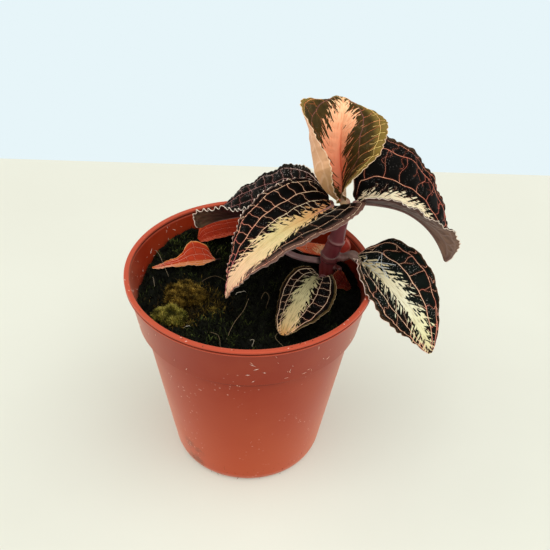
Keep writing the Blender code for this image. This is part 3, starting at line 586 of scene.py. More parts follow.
# Seat and away place the petiole's foot on the stem. Heading, pitch and roll run along the midrib in degrees,
# fold and curl along each half, and blotch is the middle band's share of the half. A long vein has its place
# across, start, end, width and tone. Rungs have their inner and outer place, count, start, end, slant,
# width, tone and how many fork.
leaves = {
    "leaf_top": {
        "seat": (33.5, 10.0, 104.4), "away": (0.0, 0.0, 1.0), "base": (32.3, 9.2, 105.6), "length": 41.6,
        "heading": (90, 104, 89, 82, 112), "pitch": (55, 54, 51, 32, -4), "roll": (-24, -17, 5),
        "fullness": (0.37, 0.87), "petiole": 3.2, "waves": 5, "wave": 0.5, "seed": 11, "margin": (0.4, 0.2),
        "slot": "leaf_young",
        "left": {"width": 28.5, "fold": (9, 30, 20), "curl": (148, 103, -52), "sweep": 24,
            "blotch": (0.08, 0.2, 0.28, 0.24, 0.2), "neck": 0.28, "foot": 3.4,
            "veins": {"long": ((0.6, 0.02, 0.97, 0.45, 0.95), (0.88, 0.08, 0.98, 0.4, 0.1)),
                "rungs": ((0.12, 0.36, 11, 0.1, 0.85, 0.09, 0.5, 0.35, 0.0),
                    (0.36, 0.6, 6, 0.2, 0.95, 0.08, 0.36, 0.45, 0.3),
                    (0.6, 0.88, 9, 0.15, 0.95, 0.05, 0.34, 0.25, 0.1))}},
        "right": {"width": 24.5, "fold": (74, 42, -3), "curl": (6, -20, -43), "neck": 0.35, "border": 1.8,
            "blotch": (0.06, 0.14, 0.24, 0.28, 0.22),
            "veins": {"long": ((0.5, 0.02, 0.97, 0.5, 0.95), (0.86, 0.06, 0.98, 0.44, 0.0)),
                "rungs": ((0.12, 0.34, 12, 0.1, 0.85, 0.08, 0.5, 0.35, 0.0),
                    (0.34, 0.5, 6, 0.15, 0.95, 0.06, 0.34, 0.5, 0.2),
                    (0.5, 0.86, 9, 0.12, 0.92, 0.08, 0.4, 0.3, 0.0),
                    (0.72, 0.96, 10, 0.2, 0.92, 0.03, 0.5, 0.0, 0.0))}},
        "look": {"ground": ("#221f12", "#503f1c"), "border": "#7c6630", "borderWidth": 3.4, "halo": "#56351a",
            "spike": 2.6, "spikePitch": 1.8, "pane": (2.6, 1.6), "paneDepth": 1.2, "paneSize": 0.2,
            "band": ((0.0, "#cf6a4c"), (0.3, "#ec8a66"), (0.6, "#f4ad82"), (0.85, "#f6cb9c"),
            (1.0, "#ecc08c")), "streak": "#e8875c", "streakStrength": 0.8, "glint": 0.1, "haloStrength": 0.4,
            "under": ((0.0, "#bb945c"), (0.3, "#cf9e74"), (0.65, "#dca78e"), (1.0, "#d49684")),
            "underTint": "#b98c68", "underVein": "#e2ba9c",
            "veins": ((0.0, "#f6dc84"), (0.35, "#ea8452"), (0.7, "#b06a54"), (1.0, "#75484a")),
            "margin": ((0.0, "#e9cfae"), (1.0, "#e0b08e")),
            "stalk": ((0.0, "#7d4a48"), (0.3, "#a98a66"), (1.0, "#b08a66"))}},
    "leaf_right_upper": {
        "seat": (35.6, 10.2, 101.0), "away": (0.996, 0.087, 0.0), "base": (36.9, 10.3, 105.0), "length": 46.7,
        "heading": (9, 7, 0, -2, -6), "pitch": (-2, -17, -36, -56, -71), "roll": (12, 5, -6),
        "fullness": (0.2, 0.66), "petiole": 2.4, "wave": 0.6, "seed": 23, "margin": (0.38, 0.2),
        "wander": 4.0,
        "left": {"width": 24.7, "fold": (54, 36, 37), "curl": (4, -24, -23), "sweep": 28, "neck": 0.07,
            "blotch": (0.12, 0.2, 0.24, 0.24, 0.1),
            "veins": {"long": ((0.38, 0.01, 0.93, 0.56, 0.45), (0.8, 0.02, 0.98, 0.5, 0.55),
                               (0.93, 0.05, 0.7, 0.3, 0.5)),
                "rungs": ((0.38, 0.8, 8, 0.06, 0.93, 0.03, 0.42, 0.6, 0.75),
                    (0.8, 0.95, 14, 0.06, 0.9, 0.02, 0.3, 0.55, 0.0),
                    (0.8, 0.58, 9, 0.12, 0.9, -0.03, 0.3, 0.6, 0.5),
                    (0.16, 0.3, 12, 0.1, 0.85, 0.05, 0.3, 0.1, 0.0))}},
        "right": {"width": 19.2, "fold": (41, 36, 54), "curl": (21, 6, 22),
            "blotch": (0.1, 0.16, 0.16, 0.12, 0.1),
            "veins": {"long": ((0.4, 0.02, 0.95, 0.45, 0.55), (0.8, 0.04, 0.98, 0.4, 0.6)),
                "rungs": ((0.4, 0.8, 9, 0.1, 0.93, 0.05, 0.32, 0.7, 0.4),)}},
        "look": {"veins": ((0.0, "#f2e0bc"), (0.4, "#ea9a78"), (0.7, "#d8705c"), (1.0, "#b85e6e")),
            "band": ((0.0, "#c8b898"), (0.3, "#e8debc"), (0.8, "#e9dab2"), (1.0, "#d8c49c")),
            "streak": "#a8705a", "streakStrength": 0.7, "glint": 0.12,
            "under": ((0.0, "#4a2b2a"), (0.45, "#604238"), (0.8, "#8a6d5c"), (1.0, "#937766")),
            "underTint": "#4e3533", "underVein": "#97807a"}},
    "leaf_front_left": {
        "seat": (29.5, 6.7, 98.0), "away": (-0.707, -0.707, 0.0), "base": (28.8, 8.2, 104.2), "length": 54.5,
        "heading": (212, 217, 223, 207, 203), "pitch": (-6, -6, -15, -44, -80), "roll": (-31, 0, 13),
        "fullness": (0.28, 0.85), "petiole": 2.6, "wave": 0.5, "seed": 37, "margin": (0.46, 0.1),
        "drift": 0.75,
        "left": {"width": 19.2, "fold": (40, 27, 10), "curl": (2, -5, -16), "sweep": 58, "border": 2.4,
            "margin": (0.34, 0.8), "crimp": {"pitch": 2.4, "depth": 1.8, "rise": 0.22, "scallop": 0.12},
            "blotch": (0.1, 0.22, 0.48, 0.8, 1.1),
            "veins": {"long": ((0.3, 0.01, 0.6, 0.36, 0.15), (0.62, 0.01, 0.96, 0.36, 0.35),
                    (0.9, 0.01, 0.98, 0.34, 0.3)),
                "rungs": ((0.14, 0.3, 8, 0.04, 0.5, 0.02, 0.34, 0.15, 0.0),
                    (0.3, 0.62, 7, 0.04, 0.7, 0.02, 0.26, 0.45, 0.0),
                    (0.62, 0.9, 8, 0.04, 0.9, 0.02, 0.24, 0.45, 0.1))}},
        "right": {"width": 17.2, "fold": (18, 30, 9), "curl": (-40, -31, -18), "sweep": 4, "border": 0.5,
            "blotch": (0.1, 0.16, 0.22, 0.3, 0.7),
            "veins": {"long": ((0.3, 0.02, 0.8, 0.42, 0.1), (0.54, 0.01, 0.97, 0.52, 0.45),
                    (0.87, 0.01, 0.985, 0.46, 0.4)),
                "rungs": ((0.14, 0.3, 14, 0.06, 0.75, 0.025, 0.42, 0.1, 0.0),
                    (0.3, 0.54, 8, 0.08, 0.8, 0.03, 0.36, 0.45, 0.0),
                    (0.54, 0.87, 14, 0.03, 0.95, 0.015, 0.46, 0.5, 0.0),
                    (0.87, 0.98, 9, 0.1, 0.9, 0.01, 0.3, 0.2, 0.0))}},
        "look": {"border": "#664a40", "pane": (2.4, 1.1), "paneSize": 0.24, "paneDepth": 1.9,
            "margin": ((0.0, "#f4e6d6"), (0.4, "#d8b8a8"), (0.75, "#8a766c"), (1.0, "#6f5f56")),
            "band": ((0.0, "#d68c62"), (0.2, "#d2a66e"), (0.45, "#cfc08a"), (0.75, "#e0bb94"),
            (1.0, "#e8bc9c")), "under": ((0.0, "#6f6252"), (0.5, "#6b5552"), (1.0, "#8a6f66")),
            "underTint": "#4a3a36"}},
    "leaf_back_left": {
        "seat": (29.9, 12.0, 95.0), "away": (-0.707, 0.707, 0.0), "base": (28.0, 14.8, 101.8), "length": 51.5,
        "heading": (171, 171, 177, 175, 152), "pitch": (-20, -15, -17, -18, -46), "roll": (-9, 0, 9),
        "fullness": (0.63, 0.62), "petiole": 2.6, "wave": 0.6, "seed": 41, "margin": (0.5, 0.1),
        "crimp": {"pitch": 2.1, "depth": 2.0, "rise": 0.62, "scallop": 0.3},
        "left": {"width": 16.0, "fold": (36, 38, 52), "curl": (11, 0, 2),
            "blotch": (0.0, 0.02, 0.04, 0.05, 0.1)},
        "right": {"width": 21.0, "fold": (45, 24, 17), "curl": (1, -30, -32), "sweep": 4,
            "crimp": {"pitch": 1.9, "depth": 1.4, "rise": 0.3, "scallop": 0.16},
            "blotch": (0.0, 0.02, 0.04, 0.05, 0.1)},
        "veins": {"long": ((0.32, 0.03, 0.95, 0.32, 0.4), (0.62, 0.02, 0.97, 0.36, 0.4),
                (0.88, 0.02, 0.98, 0.34, 0.2)),
            "rungs": ((0.32, 0.62, 10, 0.08, 0.95, 0.02, 0.26, 0.5, 0.15),
                (0.62, 0.88, 14, 0.06, 0.95, 0.02, 0.28, 0.4, 0.1),
                (0.03, 0.32, 8, 0.1, 0.9, 0.02, 0.24, 0.5, 0.0))},
        "look": {"ground": ("#080807", "#141310"), "border": "#1d1a14", "spike": 0.6,
            "veins": ((0.0, "#ead6c8"), (0.5, "#c88a86"), (1.0, "#a06070")),
            "under": ((0.0, "#3a1c1c"), (0.7, "#432222"), (1.0, "#7a6a52")), "underTint": "#2c1413",
            "underVein": "#5a3433", "glint": 0.5}},
    "leaf_right_lower": {
        "seat": (32.2, 9.2, 81.8), "away": (0.985, -0.174, 0.0), "base": (37.2, 8.8, 83.5), "length": 50.3,
        "entry": (0.86, -0.35, 0.3), "heading": (-62, -57, -50, -43, -48), "pitch": (8, -1, -20, -41, -51),
        "roll": (0, 6, 21), "fullness": (0.63, 0.87), "petiole": 3.6, "wave": 0.5, "seed": 53, "quilt": 0.32,
        "margin": (0.34, 0.6), "flare": 0.7, "wander": 5.0, "wing": 0.6,
        "sheath": {"centre": (29.2, 9.8), "turn": (165.0, 385.0), "radius": 3.35, "height": 83.2,
            "droop": -1.6},
        "left": {"width": 16.8, "fold": (35, 15, -1), "curl": (7, -1, -20), "sweep": 8, "neck": 0.17,
            "border": 0.5, "crimp": {"pitch": 3.2, "depth": 1.4, "rise": 0.1, "scallop": 0.1},
            "blotch": (0.16, 0.24, 0.27, 0.3, 0.5),
            "veins": {"long": ((0.5, 0.01, 0.98, 0.56, 0.32), (0.84, 0.02, 0.97, 0.44, 0.5)),
                "rungs": ((0.5, 0.84, 7, 0.06, 0.9, 0.02, 0.4, 0.5, 0.6),
                    (0.84, 0.96, 6, 0.3, 0.9, 0.02, 0.28, 0.5, 0.0),
                    (0.34, 0.5, 6, 0.45, 0.95, 0.05, 0.4, 0.15, 0.0))}},
        "right": {"width": 9.6, "fold": (42, 6, -32), "curl": (27, -7, -49), "sweep": -5, "neck": 0.3,
            "border": 0.6, "crimp": {"pitch": 3.4, "depth": 2.0, "rise": 0.3, "scallop": 0.3},
            "blotch": (0.2, 0.14, 0.12, 0.2, 0.6),
            "veins": {"long": ((0.45, 0.01, 0.98, 0.42, 0.15), (0.8, 0.02, 0.98, 0.38, 0.3)),
                "rungs": ((0.08, 0.45, 8, 0.08, 0.9, 0.09, 0.36, 0.05, 0.3),
                    (0.45, 0.8, 7, 0.1, 0.95, 0.05, 0.34, 0.35, 0.2))}},
        "look": {"ground": ("#070908", "#0f1611"), "streak": "#a08a5c", "glint": 0.3, "paneSize": 0.26,
            "paneDepth": 2.6, "band": ((0.0, "#b8a888"), (0.25, "#d6c89e"), (0.6, "#dcd8ba"),
            (0.85, "#dcd8a8"), (1.0, "#d8c898")), "under": ((0.0, "#7d6660"), (1.0, "#6e5a54")), "spike": 2.2,
            "stalk": ((0.0, "#662e32"), (0.06, "#6e423f"), (0.2, "#705048"), (0.45, "#7e665a"),
            (1.0, "#8d766e"))}},
    "leaf_lower_front": {
        "seat": (26.9, 6.8, 74.0), "away": (-0.574, -0.819, 0.0), "base": (26.2, 5.0, 75.0), "length": 34.0,
        "heading": (236, 246, 247, 243, 250), "pitch": (30, 6, -8, -20, -30), "roll": (-2, 5, 12),
        "fullness": (0.6, 0.72), "petiole": 2.2, "waves": 5, "wave": 0.4, "seed": 67, "quilt": 0.24,
        "margin": (0.26, 0.35), "crimp": {"pitch": 2.4, "depth": 1.2, "rise": 0.12, "scallop": 0.1},
        "left": {"width": 11.4, "fold": (29, 2, 7), "curl": (23, -12, -6), "sweep": -8, "border": 0.75,
            "blotch": (0.16, 0.2, 0.24, 0.4, 0.9),
            "veins": {"long": ((0.4, 0.01, 0.98, 0.36, 0.15), (0.8, 0.01, 0.985, 0.36, 0.15)),
                "rungs": ((0.2, 0.4, 8, 0.1, 0.8, 0.03, 0.34, 0.1, 0.0),
                    (0.4, 0.8, 8, 0.06, 0.92, 0.01, 0.34, 0.25, 0.0))}},
        "right": {"width": 9.6, "fold": (32, -3, -2), "curl": (25, -20, -21), "sweep": 3, "border": 0.55,
            "blotch": (0.24, 0.3, 0.34, 0.4, 0.9),
            "veins": {"long": ((0.54, 0.01, 0.98, 0.36, 0.15), (0.84, 0.01, 0.985, 0.36, 0.15)),
                "rungs": ((0.3, 0.54, 9, 0.06, 0.85, 0.03, 0.34, 0.1, 0.0),
                    (0.54, 0.84, 9, 0.05, 0.92, 0.01, 0.34, 0.2, 0.0))}},
        "look": {"band": ((0.0, "#a29d72"), (0.5, "#c2b88a"), (0.85, "#c8ad7c"), (1.0, "#c48a4c")),
            "border": "#4a3a20", "borderWidth": 1.2, "glint": 0.1, "spike": 1.0, "spikePitch": 1.0,
            "margin": ((0.0, "#a8946c"), (1.0, "#8a7454")), "streak": "#6f6a40", "streakStrength": 0.8}},
    "leaf_red_wall": {
        "seat": (25.1, 10.1, 79.2), "away": (-0.996, 0.087, 0.0), "base": (1.0, 35.2, 73.6), "length": 23.0,
        "heading": (176, 186, 197, 208, 218), "pitch": (0, 0, -2, -4, -6), "petiole": 2.6, "wave": 0.2,
        "seed": 71, "quilt": 0.15, "old": True,
        "left": {"width": 2.0, "fold": (-8, -12, -10), "curl": (0, -10, -10),
            "outline": (0.3, 0.8, 0.95, 1.0, 1.0, 1.0, 0.95, 0.8, 0.2)},
        "right": {"width": 5.4, "fold": (40, 52, 45), "curl": (0, 10, 10),
            "outline": (0.3, 0.8, 0.95, 1.0, 1.0, 1.0, 0.98, 0.9, 0.3)},
        "look": {"veins": ((0.0, "#d9745a"), (1.0, "#c85a42")),
            "margin": ((0.0, "#cf6a50"), (1.0, "#c85a42"))}},
    "leaf_red_centre": {
        "seat": (30.2, 13.4, 75.6), "away": (0.309, 0.951, 0.0), "base": (31.0, 15.7, 76.0), "length": 8.4,
        "heading": (84, 84, 85, 86, 86), "pitch": (8, 2, -5, -10, -15), "petiole": 2.2, "wave": 0.2,
        "seed": 73, "quilt": 0.12, "old": True,
        "left": {"width": 16.0, "fold": (8, 10, 12), "curl": (0, -5, -10),
            "blotch": (0.3, 0.5, 0.45, 0.4, 0.3), "outline": (0.72, 0.95, 1.0, 1.0, 1.0, 0.9, 0.4)},
        "right": {"width": 12.4, "fold": (-25, -25, -25), "curl": (172, 172, 172),
            "blotch": (0.2, 0.5, 0.6, 0.5, 0.2), "outline": (0.1, 0.8, 1.0, 0.85, 0.4, 0.1, 0.0)},
        "look": {"ground": ("#f0603e", "#ff8c60"), "spike": 1.2, "band": ((0.0, "#ffd0a0"), (1.0, "#f6bc80")),
            "under": ((0.0, "#d8483a"), (1.0, "#e8705a")), "underTint": "#c03c30", "underVein": "#f6c0a8",
            "veins": ((0.0, "#f8dcc0"), (0.5, "#f0b498"), (1.0, "#e09878")),
            "margin": ((0.0, "#f4c8b4"), (1.0, "#eab09a"))}},
    "leaf_withered": {
        "seat": (31.8, 7.9, 77.6), "away": (0.866, -0.5, 0.0), "base": (32.6, 6.3, 78.4), "length": 9.0,
        "heading": (-10, 0, 10, 15, 20), "pitch": (-40, -55, -65, -62, -60), "roll": (0, 10, 0),
        "fullness": (0.3, 0.5), "petiole": 2.4, "wave": 0.7, "seed": 79, "quilt": 0.25, "old": True,
        "left": {"width": 7.0, "fold": (-25, -20, -10), "curl": (-30, -40, -20), "sweep": 20,
            "blotch": (0.1, 0.45, 0.6, 0.4, 0.1)},
        "right": {"width": 5.6, "fold": (-20, -15, -10), "curl": (-40, -50, -20), "sweep": 20},
        "look": {"ground": ("#4a120e", "#74241a"), "border": "#6a2c1a", "halo": "#3a100a", "spike": 1.2,
            "band": ((0.0, "#b85c38"), (1.0, "#8a3c22")), "veins": ((0.0, "#8a4a30"), (1.0, "#5a2a20")),
            "margin": ((0.0, "#8a4a30"), (1.0, "#6a3020")), "under": ((0.0, "#4a1a10"), (1.0, "#5a2414")),
            "underTint": "#30100a", "stalk": ((0.0, "#4a1a18"), (1.0, "#5a2018"))}},
    "leaf_red_fallen": {
        "old": True, "seat": (-13.3, 19.0, 71.5), "away": (-0.964, -0.267, 0.0), "base": (-13.6, 18.9, 71.5),
        "length": 24.5, "heading": (192, 194, 196, 198, 196), "pitch": (6, 2, -2, -4, 4), "petiole": 0.4,
        "wave": 0.3, "seed": 83, "quilt": 0.18,
        "left": {"width": 2.2, "fold": (-12, -25, -5), "curl": (-30, -35, -10), "border": 3.0,
            "outline": (0.0, 0.7, 1.0, 0.9, 0.75, 0.55, 0.4, 0.3, 0.0)},
        "right": {"width": 7.2, "fold": (36, 44, 20), "curl": (5, -5, -10), "border": 0.5,
            "outline": (0.0, 0.75, 1.0, 0.97, 0.55, 0.32, 0.3, 0.2, 0.0)},
        "look": {"ground": ("#b2341c", "#c8482a"), "border": "#d8843e",
            "margin": ((0.0, "#f0b890"), (1.0, "#e8a078"))}},
}


def growLeaf(name, leaf):
    old = "old" in leaf
    for part, usual in ((leaf, {**leafUsual, **(leafWhenOld if old else {})}), (leaf["left"], halfUsual),
                        (leaf["right"], halfUsual)):
        for key, value in usual.items():
            part.setdefault(key, value)
    look = {**darkLook, **(redLook if old else {}), **leaf["look"]}
    plain = name.replace("leaf_", "").replace("_", " ").title().replace(" ", "")
    skins = [laminaSkin("lamina" + plain, look), undersideSkin("underside" + plain, look),
             veinSkin("vein" + plain, look["veins"]), veinSkin("margin" + plain, look["margin"], 0.5),
             stalkSkin("petiole" + plain, look["stalk"])]
    makePiece(name + "_blade", [*bladeShells(leaf), *stalkShells(leaf)], skins, [name])


for leafName, leafForm in leaves.items():
    growLeaf(leafName, leafForm)
print("leaves grown:", len(leaves))


pot = {"rim": 45.0, "height": 82.0, "lipDepth": 1.5, "lipWidth": 1.9, "collarTop": 44.0, "collarFoot": 41.1,
       "collarZ": 64.0, "bodyTop": 38.8, "bodyFoot": 28.7, "fillet": 3.5, "wall": 1.0, "floorTop": 3.4,
       "recess": (12.0, 21.5, 1.6), "drains": 6, "drainRadius": 2.8, "drainCircle": 16.8, "sides": 192}


def pottedWall(z):  # inner radius of the wall at a height
    if z >= pot["collarZ"]:
        rise = (z - pot["collarZ"]) / (pot["height"] - pot["lipDepth"] - pot["collarZ"])
        return pot["collarFoot"] - pot["wall"] + rise * (pot["collarTop"] - pot["collarFoot"])
    rise = (z - pot["fillet"]) / (pot["collarZ"] - pot["fillet"])
    return pot["bodyFoot"] - pot["wall"] + rise * (pot["bodyTop"] - pot["bodyFoot"])


def roundedProfile(points):  # each point is (radius, z, corner radius), and each corner becomes a small arc
    rounded = []
    for i, (r, z, corner) in enumerate(points):
        here = np.array([r, z])
        if corner == 0.0 or i in (0, len(points) - 1):
            rounded.append(here)
            continue
        before, after = np.array(points[i - 1][:2]), np.array(points[i + 1][:2])
        start = here + (before - here) / np.linalg.norm(before - here) * corner
        end = here + (after - here) / np.linalg.norm(after - here) * corner
        for f in np.linspace(0, 1, 5):
            rounded.append((1 - f) ** 2 * start + 2 * f * (1 - f) * here + f ** 2 * end)
    return np.array(rounded)


def turnedPoints(profile, sides):
    angle = np.arange(sides) * math.tau / sides
    ring = np.stack([np.cos(angle), np.sin(angle)], -1)
    r, z = profile[:, 0, None, None], profile[:, 1, None, None]
    return np.concatenate([r * ring[None], np.broadcast_to(z, (len(z), sides, 1))], -1).reshape(-1, 3)


def makePot(skin):
    rim, top, collarZ = pot["rim"], pot["height"], pot["collarZ"]
    body, foot, fillet, floorTop = pot["bodyTop"], pot["bodyFoot"], pot["fillet"], pot["floorTop"]
    lipZ, mouth = top - pot["lipDepth"], rim - pot["lipWidth"]
    recessIn, recessOut, recessTop = pot["recess"]
    profile = roundedProfile([
        # inside, from the middle of the floor up the wall
        (0.0, floorTop, 0), (foot - fillet, floorTop, 1.0), (pottedWall(floorTop + 2.0), floorTop + 2.0, 1.0),
        (pottedWall(collarZ - 1.6) + 0.2, collarZ - 1.6, 0.4),
        (pottedWall(collarZ) + 0.1, collarZ + 0.3, 0.6),
        # the lip, with a groove round it
        (mouth, lipZ, 0.5), (mouth, top, 0.45), (rim, top, 0.45), (rim, lipZ + 0.7, 0.1),
        (rim - 0.7, lipZ + 0.5, 0.1), (rim - 0.7, lipZ + 0.25, 0.1), (rim - 0.1, lipZ, 0.12),
        (rim - 0.1, lipZ - 0.5, 0.15),
        # the collar runs straight down to a sharp edge, and the wall steps in under it
        (pot["collarTop"] - 0.2, lipZ - 0.7, 0.3), (body + 2.145, collarZ - 0.45, 0),
        (body + 2.12, collarZ - 0.6, 0.03), (body + 0.15, collarZ - 0.9, 0.1),
        (body - 0.05, collarZ - 1.9, 0.3),
        # the body, its rounded foot and the ring-shaped recess beneath
        (foot, fillet, 0.5), (foot - 0.9, 1.0, 0.8), (foot - fillet, 0.0, 0.8), (recessOut, 0.0, 0.2),
        (recessOut - 0.8, recessTop, 0.2), (recessIn + 0.8, recessTop, 0.2), (recessIn, 0.0, 0.2),
        (0.0, 0.0, 0)])
    mesh = bpy.data.meshes.new("pot_shell")
    form = bmesh.new()
    corners = [form.verts.new(point * mm) for point in turnedPoints(profile, pot["sides"])]
    for face in gridFaces(len(profile), pot["sides"], closed=True):
        form.faces.new([corners[i] for i in face])
    bmesh.ops.remove_doubles(form, verts=form.verts, dist=0.000001)
    bmesh.ops.recalc_face_normals(form, faces=form.faces)
    form.to_mesh(mesh)
    form.free()
    piece = newObject("pot_shell", mesh)
    punch = bpy.data.meshes.new("punch")
    form = bmesh.new()
    for i in range(pot["drains"]):
        # turned off the shell's own edges, so that the cut stays clean
        angle = math.tau * (i + 0.5) / pot["drains"] + 0.007
        place = Matrix.Translation((pot["drainCircle"] * mm * math.cos(angle),
                                    pot["drainCircle"] * mm * math.sin(angle), 2.5 * mm))
        radius = pot["drainRadius"] * mm
        bmesh.ops.create_cone(form, cap_ends=True, segments=40, radius1=radius, radius2=radius,
                              depth=8.0 * mm, matrix=place)
    form.to_mesh(punch)
    form.free()
    cutter = newObject("punch", punch)
    drains = piece.modifiers.new("Drains", "BOOLEAN")
    drains.object = cutter
    graph = bpy.context.evaluated_depsgraph_get()
    piece.data = bpy.data.meshes.new_from_object(piece.evaluated_get(graph))
    piece.modifiers.clear()
    bpy.data.objects.remove(cutter)
    piece.data.materials.append(skin)
    piece.data.shade_smooth()
    piece.data.set_sharp_from_angle(angle=math.radians(35.0))
    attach(piece, "root")
    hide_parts("pot")


def potSkin():
    # Moulded polypropylene in terracotta red: satin, a little chalky, with dust in the collar, soil
    # smudges low on the left, scuffs from handling, and painted light and shade by height.
    skin, tree, shader = newSkin("potPolypropylene", {
        "IOR": 1.49, "Specular IOR Level": 0.42, "Specular Tint": "#ff7850", "Sheen Weight": 0.42,
        "Sheen Roughness": 0.3, "Sheen Tint": "#ffb898"})
    parts = addNode(tree, "SeparateXYZ", None, {"Vector": "Object"})
    cloud = addNode(tree, "TexNoise", {"Scale": 45.0, "Detail": 5.0}, {"Vector": "Object"})
    height = addNode(tree, "MapRange", {2: 0.082}, {0: (parts, "Z")})
    # painted light and shade by height: the foot is painted lighter for light thrown up from the floor, the
    # collar darker for the lip's shadow, thin bands of painted shade lie under the collar's edge and in the
    # lip's groove, and the lip is painted lighter as a highlight
    tone = addNode(tree, "ValToRGB",
                   {"stops": ((0.0, "#b84820"), (0.5, "#9a3212"), (0.741, "#8e2b10"), (0.744, "#561608"),
                              (0.771, "#561608"), (0.7725, "#8a280e"), (0.8, "#87250c"), (0.9735, "#87250c"),
                              (0.976, "#b04c38"), (0.981, "#b04c38"), (0.9825, "#4a140a"),
                              (0.9895, "#4a140a"), (0.991, "#b04c38"), (1.0, "#b44e38"))}, {0: height})
    mottle = addNode(tree, "MapRange", {1: 0.4, 2: 0.75, 4: 0.2}, {0: cloud})
    mottledWithPaintedLight = addNode(tree, "Mix", {7: "#b8603e"}, {0: mottle, 6: tone})
    # soil smudges, strongest low down
    smear = addNode(tree, "TexNoise", {"Scale": 95.0, "Detail": 6.0, "Roughness": 0.7}, {"Vector": "Object"})
    spot = addNode(tree, "VectorMath", {"operation": "DISTANCE", 1: (-0.021, -0.022, 0.003)}, {0: "Object"})
    low = addNode(tree, "MapRange", {1: 0.02, 2: 0.0, 3: -0.16, 4: 0.2}, {0: (spot, "Value")})
    smudge = addNode(tree, "Math", {"operation": "ADD"}, {0: smear, 1: low})
    soiled = addNode(tree, "MapRange", {1: 0.54, 2: 0.66, 4: 0.7}, {0: smudge})
    smudgedWithPaintedLight = addNode(tree, "Mix", {7: "#6b3018"}, {0: soiled, 6: mottledWithPaintedLight})
    # dry dust in tiny specks, about 0.4 mm across
    grit = addNode(tree, "TexVoronoi", {"Scale": 520.0}, {"Vector": "Object"})
    speck = addNode(tree, "MapRange", {1: 0.2, 2: 0.13}, {0: grit})
    drift = addNode(tree, "TexNoise", {"Scale": 70.0, "Detail": 3.0}, {"Vector": "Object"})
    where = addNode(tree, "MapRange", {1: 0.56, 2: 0.68, 4: 0.5}, {0: drift})
    dust = addNode(tree, "Math", {"operation": "MULTIPLY"}, {0: speck, 1: where})
    dustyWithPaintedLight = addNode(tree, "Mix", {7: "#e3bfae"}, {0: dust, 6: smudgedWithPaintedLight})
    rough = addNode(tree, "MapRange", {1: 0.3, 2: 0.75, 3: 0.27, 4: 0.4}, {0: cloud})
    orange = addNode(tree, "TexNoise", {"Scale": 900.0, "Detail": 2.0}, {"Vector": "Object"})
    bump = addNode(tree, "Bump", {"Strength": 0.12, "Distance": 0.0001}, {"Height": orange})
    joinNode(tree, shader, {"Base Color": dustyWithPaintedLight, "Roughness": rough, "Normal": bump})
    return skin


makePot(potSkin())
print("pot turned")


ground = {"mean": 68.0, "foot": 66.3, "outer": pottedWall(66.0) - 0.35, "rings": 90, "sides": 220,
          "hole": (29.55, 9.8, 3.2), "seed": 5, "clump": 1.1, "shoots": 22000}


def hill(x, y, centreX, centreY, spread):  # 1 at its middle, and it fades within the root of spread
    return np.exp(-((x - centreX) ** 2 + (y - centreY) ** 2) / spread)


def carpetHeight(x, y):  # the same soft hummocks as the solid carpet
    hummocks = 0.55 * np.sin(0.21 * x + 0.6) * np.cos(0.19 * y - 0.4)
    hummocks = hummocks + 0.35 * np.sin(0.33 * y + 0.17 * x + 1.3)
    bank, mound = 1.3 * hill(x, y, -27.0, 23.0, 110.0), 0.8 * hill(x, y, 27.0, 8.0, 90.0)
    # the moss climbs the wall at the back left, at the left and at the right
    turn, out = np.arctan2(y, x) % math.tau, np.hypot(x, y)
    climb = (5.4 * np.exp(-((turn - 2.2) / 0.5) ** 4) + 2.4 * np.exp(-((turn - 3.1) / 0.5) ** 4)
             + 3.0 * np.exp(-((turn - 0.5) / 0.6) ** 4))
    climb = climb * np.clip((out - 31.0) / 7.5, 0.0, 1.0) ** 1.3
    return ground["mean"] + hummocks + bank + mound + climb


clumpChance = np.random.RandomState(17)
clumpX, clumpY = clumpChance.uniform(-42.0, 42.0, (520, 2)).T
clumpSize, clumpTone = clumpChance.uniform(1.6, 3.4, 520), clumpChance.uniform(0.0, 1.0, 520)


def clumpAt(x, y):  # how far each spot rises within its clump of moss, from 0 to 1, and that clump's tone
    reach = np.hypot(np.ravel(x)[:, None] - clumpX, np.ravel(y)[:, None] - clumpY) / clumpSize
    nearest = np.argmin(reach, axis=1)
    rise = np.clip(1.0 - reach[np.arange(len(nearest)), nearest] ** 2, 0.0, 1.0)
    return rise.reshape(np.shape(x)), clumpTone[nearest].reshape(np.shape(x))


def crumbs(x, y, size):  # rough mossy relief, from a few crossed waves of different length
    total = 0.0 * x
    for wave, turn, shift in ((0.9, 0.3, 1.0), (1.7, 1.2, 2.3), (2.9, 2.2, 0.4), (4.3, 0.8, 3.1)):
        ahead, side = x * math.cos(turn) + y * math.sin(turn), y * math.cos(turn) - x * math.sin(turn)
        total = total + np.sin(wave * ahead + shift + 1.3 * np.sin(wave * 0.6 * side)) / wave ** 0.6
    return size * total


def mossSkin(name, stops, gloss=0.75, deepest=0.55):
    # Damp moss: matt leaflets, dark at their foot and paler at their tips, with a mottled shade.
    skin, tree, shader = newSkin(name, {"Roughness": gloss, "IOR": 1.4, "Specular IOR Level": 0.12})
    colour = addNode(tree, "ValToRGB", {"stops": stops}, {0: "tone"})
    cloud = addNode(tree, "TexNoise", {"Scale": 300.0, "Detail": 4.0}, {"Vector": "Object"})
    shade = addNode(tree, "MapRange", {1: 0.38, 2: 0.64, 3: deepest, 4: 1.2}, {0: cloud})
    shaded = addNode(tree, "VectorMath", {"operation": "SCALE"}, {0: colour, "Scale": shade})
    joinNode(tree, shader, {"Base Color": shaded})
    return skin


def swarmShell(corners, faces, tones):  # many small closed forms, all with the same faces
    count, size = corners.shape[:2]
    faces = np.arange(count)[:, None, None] * size + np.array(faces)
    return {"points": corners.reshape(-1, 3), "faces": [faces.reshape(-1, 3)],
            "fields": {"tone": tones.ravel()}}


